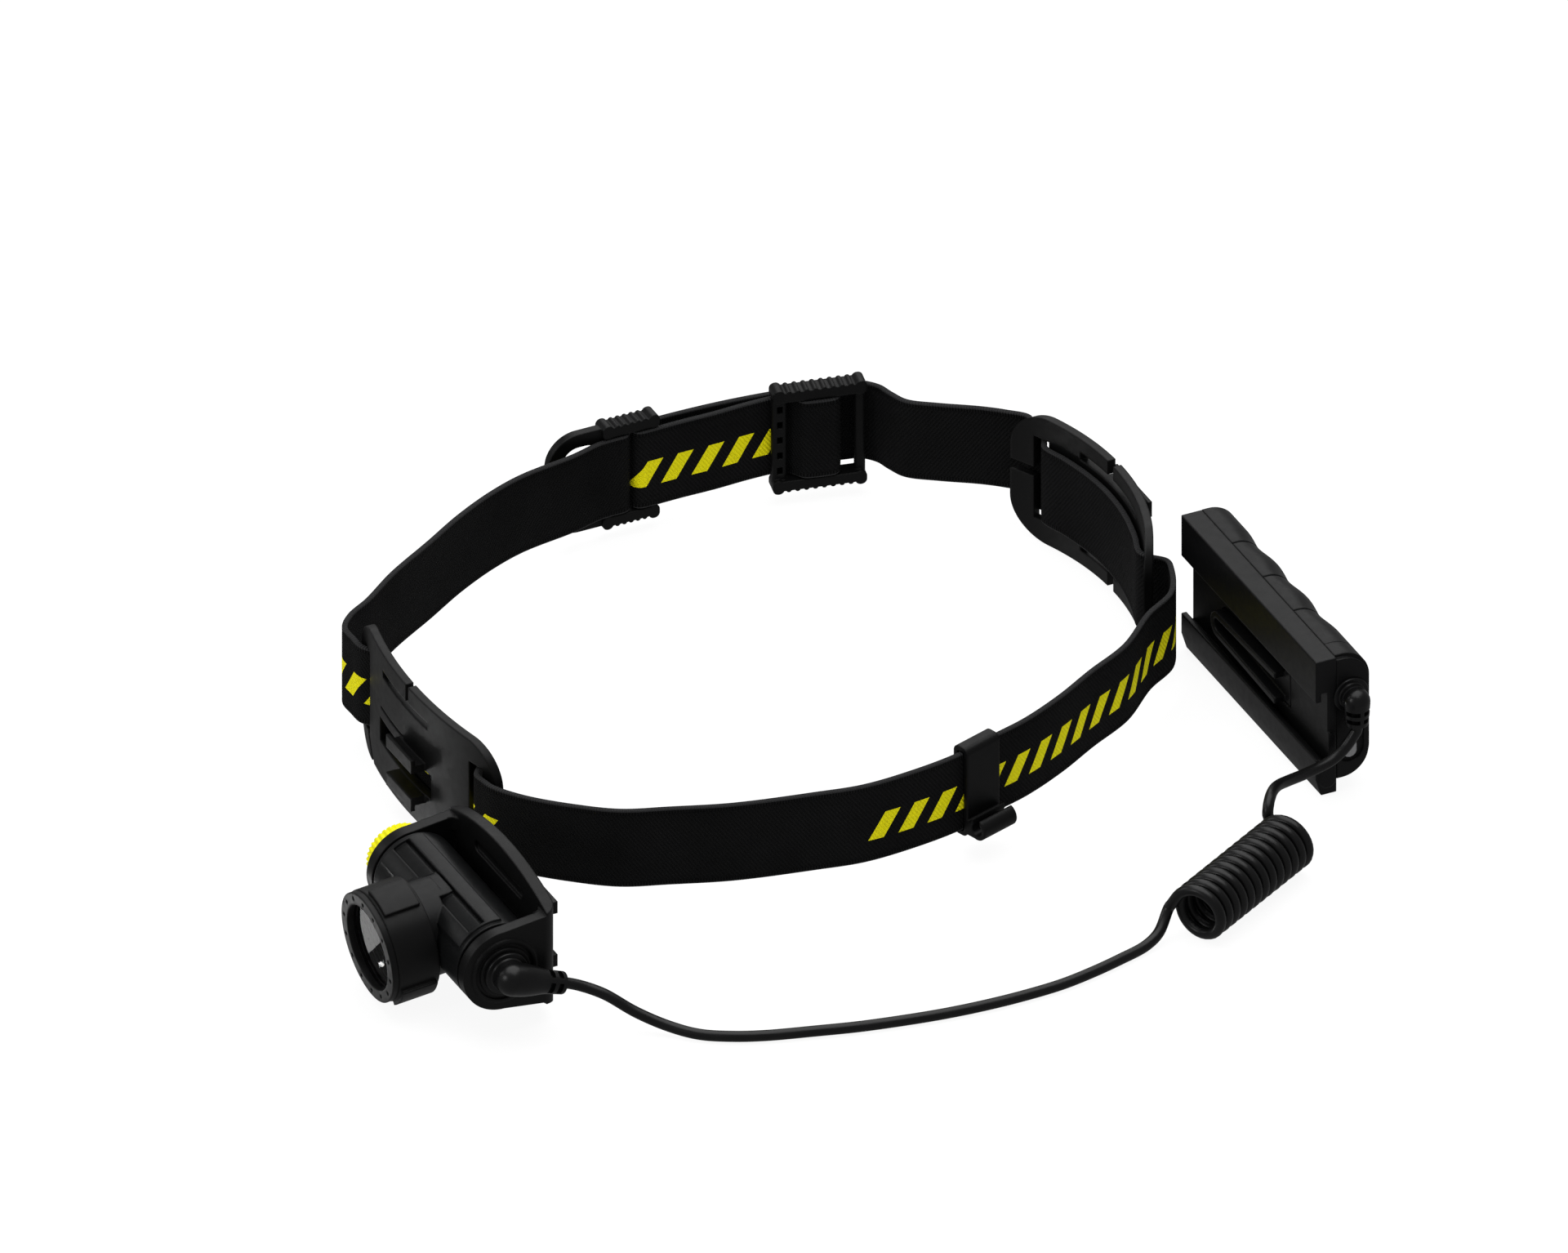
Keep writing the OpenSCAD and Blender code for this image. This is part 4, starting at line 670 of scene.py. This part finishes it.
# (distance outwards from the wheel's inner face, radius). The grips are on the outer rim: there a
# radius is less by grip_depth (1 - tooth), and a tooth is a steepened cosine cut off at -1 and 1.
profile = np.array([
    (0.0, 0.0031), (0.0, 0.0086), (0.0001, 0.0089), (0.0008, 0.0089), (0.0010, 0.00945), (0.0013, 0.0097),
    (0.0018, 0.0098), (0.0026, 0.0098), (0.0034, 0.0098), (0.0042, 0.0098), (0.0050, 0.0098),
    (0.0057, 0.00965), (0.0063, 0.0091), (0.0066, 0.0083), (0.0066, 0.0079), (0.0064, 0.0076),
    (0.0058, 0.0075), (0.0058, 0.0031), (0.0058, 0.0001),
])
on_rim = (profile[:, 0] > 0.0012) & (profile[:, 0] < 0.0064) & (profile[:, 1] > 0.009)
phase = grips * (turn[None, :] + grip_slant * profile[:, :1] / wheel_w)
teeth = np.clip(grip_steepness * np.cos(phase), -1, 1)
radius = profile[:, 1:] - grip_depth * on_rim[:, None] * (1 - teeth)
knob_grid = np.stack([
    np.broadcast_to(wheel_in - profile[:, :1], radius.shape),
    tilt_axis[1] + radius * np.cos(turn)[None, :], tilt_axis[2] + radius * np.sin(turn)[None, :],
], axis=2)
knob = skinned("dimmer_knob", knob_grid, crease=50)
knob.data.materials.append(moulded("yellow plastic", (0.92, 0.86, 0.004), 0.4, 0.06))
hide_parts("wheel_knob")
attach(knob, "wheel")

# ---- Focus ring ----
# The turning front end: a thick plastic ring with six flat grip pads, closed by a front ring
# that holds the lens and its gasket.
ring_plastic = moulded("focus ring plastic", (0.0035, 0.0035, 0.0036), 0.4)
for node, name in (("focus_ring", "grip_ring"), ("front_ring", "face_ring")):
    ring = moulded_copy(node, name, 0.0004, 3)
    ring.data.materials.append(ring_plastic)
    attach(ring, "focus")
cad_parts["lens_gasket"].data.materials[0] = rubber("gasket rubber", (0.01, 0.01, 0.01), 0.6)


def clear(name, tone, bend, least):
    """Clear moulded plastic: Fresnel's share of the light, and at least a given part, is mirrored
    and the rest passes through; a faint cloud varies its gloss."""
    finish, shader = shading(name)
    varied(finish, "Roughness", noise(finish, 80.0, 3.0), 0.0, 0.03)
    varied(finish, "Alpha", wired(finish, "ShaderNodeFresnel", in_IOR=bend).outputs[0], least, 1.0)
    shader.inputs["Base Color"].default_value = (*tone, 1)
    shader.inputs["Metallic"].default_value = 1.0
    return finish


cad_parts["front_lens"].data.materials[0] = clear("clear window", (1.0, 1.0, 1.0), 1.06, 0.0)

# ---- Focusing lens ----
# A clear collimator with a domed middle and a fluted outer cone, which mirrors what is seen
# through its face, clipped into a bright-coated carrier that slides when the focus ring is turned.
beam_tilt = math.radians(5.5)
beam_axes = np.array([
    (1, 0, 0), (0, -math.sin(beam_tilt), math.cos(beam_tilt)),
    (0, -math.cos(beam_tilt), -math.sin(beam_tilt)),
])

# (radius, distance from the tilt axis along the beam) in millimetres: the hollow over the
# emitter, the fluted cone from its 5th to its 11th point, the rim, the face and the domed middle
lens_profile = np.array([
    (0.03, 16.1), (1.5, 15.9), (2.7, 15.2), (2.9, 12.4),
    (5.2, 12.4), (6.6, 13.3), (7.9, 14.4), (9.1, 15.7), (10.1, 17.1), (11.0, 18.8), (11.45, 18.95),
    (11.45, 19.75), (11.2, 19.8), (8.2, 19.78), (8.0, 19.6), (5.4, 19.6), (5.2, 19.4),
    (5.0, 18.2), (4.6, 18.3), (3.6, 18.8), (2.4, 19.2), (1.2, 19.4), (0.03, 19.45),
])
cone_from, cone_to, half_flutes, flute_depth = 4, 10, 12, 0.3
lens_turn = np.linspace(0, 2 * math.pi, 16 * half_flutes, endpoint=False)
lens_row = np.arange(len(lens_profile))[:, None]
fluted = (lens_row > cone_from) & (lens_row < cone_to)
# each radius less flute_depth (1 - |cos(12 angle)|) on the cone: 24 flutes round it
lens_radii = lens_profile[:, :1] - flute_depth * fluted * (1 - np.abs(np.cos(half_flutes * lens_turn)))
lens_heights = np.broadcast_to(lens_profile[:, 1:], lens_radii.shape)
lens_across, lens_up = lens_radii * np.cos(lens_turn), lens_radii * np.sin(lens_turn)
lens_local = np.stack([lens_across, lens_up, lens_heights], axis=2)
collimator = skinned("collimator", tilt_axis + lens_local @ beam_axes / 1000, crease=30)
collimator.data.materials.append(clear("clear lens", (0.9, 0.91, 0.93), 1.06, 0.01))
collimator.data.materials.append(metal("mirroring flutes", (0.9, 0.91, 0.93), 0.27, 0.02))
face_row = np.arange(len(collimator.data.polygons)) // len(lens_turn)
on_cone = ((face_row >= cone_from) & (face_row < cone_to)).astype(np.int32)
collimator.data.polygons.foreach_set("material_index", on_cone)
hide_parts("collimator_lens")
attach(collimator, "lens")
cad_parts["lens_carrier"].data.materials[0] = metal("bright coating", (0.75, 0.76, 0.78), 0.25, 0.02)

# ---- Battery box ----
# A welded plastic case: the dock plate that slides onto the rear plate, the deep shell with
# four soft bulges, and an end cap with the cord's outlet and the charge window.
case_plastic = moulded("case plastic", (0.0032, 0.0032, 0.0034), 0.38)


def swelled(mesh):
    """Sinks the shell's back by sink cos^2(pi (x - x0) / pitch), so that it swells over each of its
    four cells. That depth grows from none at back_from to the whole over back_over along Y, and
    the sides above and below the middle height are drawn in by side_share of it, over side_over."""
    cells, sink, back_from, back_over, side_share, side_over = 4, 0.0009, 0.1245, 0.008, 0.7, 0.02
    slice_from, slice_to, slice_w = 0.0291, 0.1055, 0.0015
    work = bmesh.new()
    work.from_mesh(mesh)
    for x in np.arange(slice_from, slice_to, slice_w):
        everything = work.verts[:] + work.edges[:] + work.faces[:]
        bmesh.ops.bisect_plane(work, geom=everything, dist=1e-6, plane_co=(x, 0, 0), plane_no=(1, 0, 0))
    work.to_mesh(mesh)
    work.free()
    co = np.zeros(3 * len(mesh.vertices))
    mesh.vertices.foreach_get("co", co)
    co = co.reshape(-1, 3)
    x0, pitch = co[:, 0].min(), (co[:, 0].max() - co[:, 0].min()) / cells
    share = (co[:, 0] - x0) / pitch
    inner = (share > 0.5) & (share < cells - 0.5)
    sunk = np.where(inner, sink * np.cos(math.pi * share) ** 2, 0)
    back = np.clip((co[:, 1] - back_from) / back_over, 0, 1)
    middle = (co[:, 2].min() + co[:, 2].max()) / 2
    co[:, 1] -= sunk * back
    co[:, 2] -= side_share * sunk * back * np.clip((co[:, 2] - middle) / side_over, -1, 1)
    mesh.vertices.foreach_set("co", co.ravel())


for node, name in (("dock_plate", "box_dock"), ("case_shell", "box_shell"), ("end_cap", "box_cap")):
    wall = moulded_copy(node, name, 0.0006, 3)
    if node == "case_shell":
        swelled(wall.data)
    wall.data.materials.append(case_plastic)
    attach(wall, "box")
tongue = moulded_copy("latch_tongue", "latch", 0.0003)
tongue.data.materials.append(case_plastic)
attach(tongue, "tongue")
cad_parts["charge_board"].data.materials[0] = green_mask
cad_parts["case_gasket"].data.materials[0] = rubber("case gasket rubber", (0.01, 0.01, 0.01), 0.6)
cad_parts["battery_pack"].data.materials[0] = moulded("battery wrap", (0.03, 0.08, 0.22), 0.25, 0.03)
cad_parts["indicator_window"].data.materials[0] = moulded("window grey", (0.2, 0.2, 0.205), 0.3, 0.03)

# ---- Table and light ----
# A plain white acrylic table, matt and lit from below, which the pieces don't mirror. A large
# soft light hangs overhead, with weaker ones at left, front and behind. The room is dim, and
# light grey only where the camera looks past the table.
table_half, table_z = 6, -0.0003
table_mesh = bpy.data.meshes.new("table")
table_corners = [(x * table_half, y * table_half, table_z) for x, y in ((-1, -1), (1, -1), (1, 1), (-1, 1))]
table_mesh.from_pydata(table_corners, [], [(0, 1, 2, 3)])
table = bpy.data.objects.new("table", table_mesh)
scene.collection.objects.link(table)
acrylic, acrylic_shader = shading("white table")
varied(acrylic, "Roughness", noise(acrylic, 6.0, 2.0), 0.8, 0.95)
acrylic_shader.inputs["Base Color"].default_value = (0.12, 0.12, 0.12, 1)
acrylic_shader.inputs["Emission Color"].default_value = (1, 1, 1, 1)
acrylic_shader.inputs["Emission Strength"].default_value = 0.92
acrylic_shader.inputs["Specular IOR Level"].default_value = 0.1
table_mesh.materials.append(acrylic)
table.visible_glossy = False

world = bpy.data.worlds.new("studio")
scene.world = world
world.use_nodes = True
dim = world.node_tree.nodes["Background"]
dim.inputs["Color"].default_value = (1, 1, 1, 1)
dim.inputs["Strength"].default_value = 0.25
backdrop = world.node_tree.nodes.new("ShaderNodeBackground")
backdrop.inputs["Strength"].default_value = 1.0
seen = world.node_tree.nodes.new("ShaderNodeLightPath")
either = world.node_tree.nodes.new("ShaderNodeMixShader")
for source, socket in (
    (seen.outputs["Is Camera Ray"], either.inputs[0]), (dim.outputs[0], either.inputs[1]),
    (backdrop.outputs[0], either.inputs[2]),
    (either.outputs[0], world.node_tree.nodes["World Output"].inputs["Surface"]),
):
    world.node_tree.links.new(source, socket)
scene.view_settings.view_transform = "Standard"
for name, at, size, power in (
    ("overhead", (-0.1, 0.1, 1.3), 1.6, 21.0), ("left", (-0.8, -1.1, 0.7), 0.5, 2.5),
    ("front", (0.3, -1.3, 0.64), 0.4, 3.0), ("rear", (-1.3, 0.7, 0.9), 1.0, 4.0),
):
    lamp_data = bpy.data.lights.new(name, "AREA")
    lamp_data.size = size
    lamp_data.energy = power
    lamp = bpy.data.objects.new(name, lamp_data)
    lamp.location = at
    lamp.rotation_euler = (-lamp.location).to_track_quat("-Z", "Y").to_euler()
    scene.collection.objects.link(lamp)

# ---- Light boxes ----
# Three small light boxes stand under the table, where the camera sees them mirrored in the
# lamp's window: one over its upper left half, and two as glints.
window_reach, box_distance = 0.0245, 0.4
window_at = tilt_axis + window_reach * beam_axes[2]
# ray is the camera's view mirrored in the window; edge is square to it and slants across the
# window. The boxes' places across and along the edge, and their sizes, are in millimetres.
ray = 2 * (view_back @ beam_axes[2]) * beam_axes[2] - view_back
slanted = beam_axes[0] + beam_axes[1]
edge = slanted - (slanted @ ray) * ray
edge /= np.linalg.norm(edge)
box_side = np.cross(ray, edge)
for name, across, lengthwise, tall, wide, power in (
    ("light_box", 29, 0, 60, 60, 0.07),
    ("long_glint", 1.5, -2.5, 3.6, 0.8, 0.0003),
    ("low_glint", -5.6, -1.3, 1.5, 1.0, 0.00015),
):
    box_data = bpy.data.lights.new(name, "AREA")
    box_data.shape, box_data.energy = "RECTANGLE", power
    box_data.size, box_data.size_y = wide / 1000, tall / 1000
    light_box = bpy.data.objects.new(name, box_data)
    box_at = window_at + box_distance * ray + (across * box_side + lengthwise * edge) / 1000
    light_box.matrix_world = standing(edge, box_side, ray, box_at)
    scene.collection.objects.link(light_box)
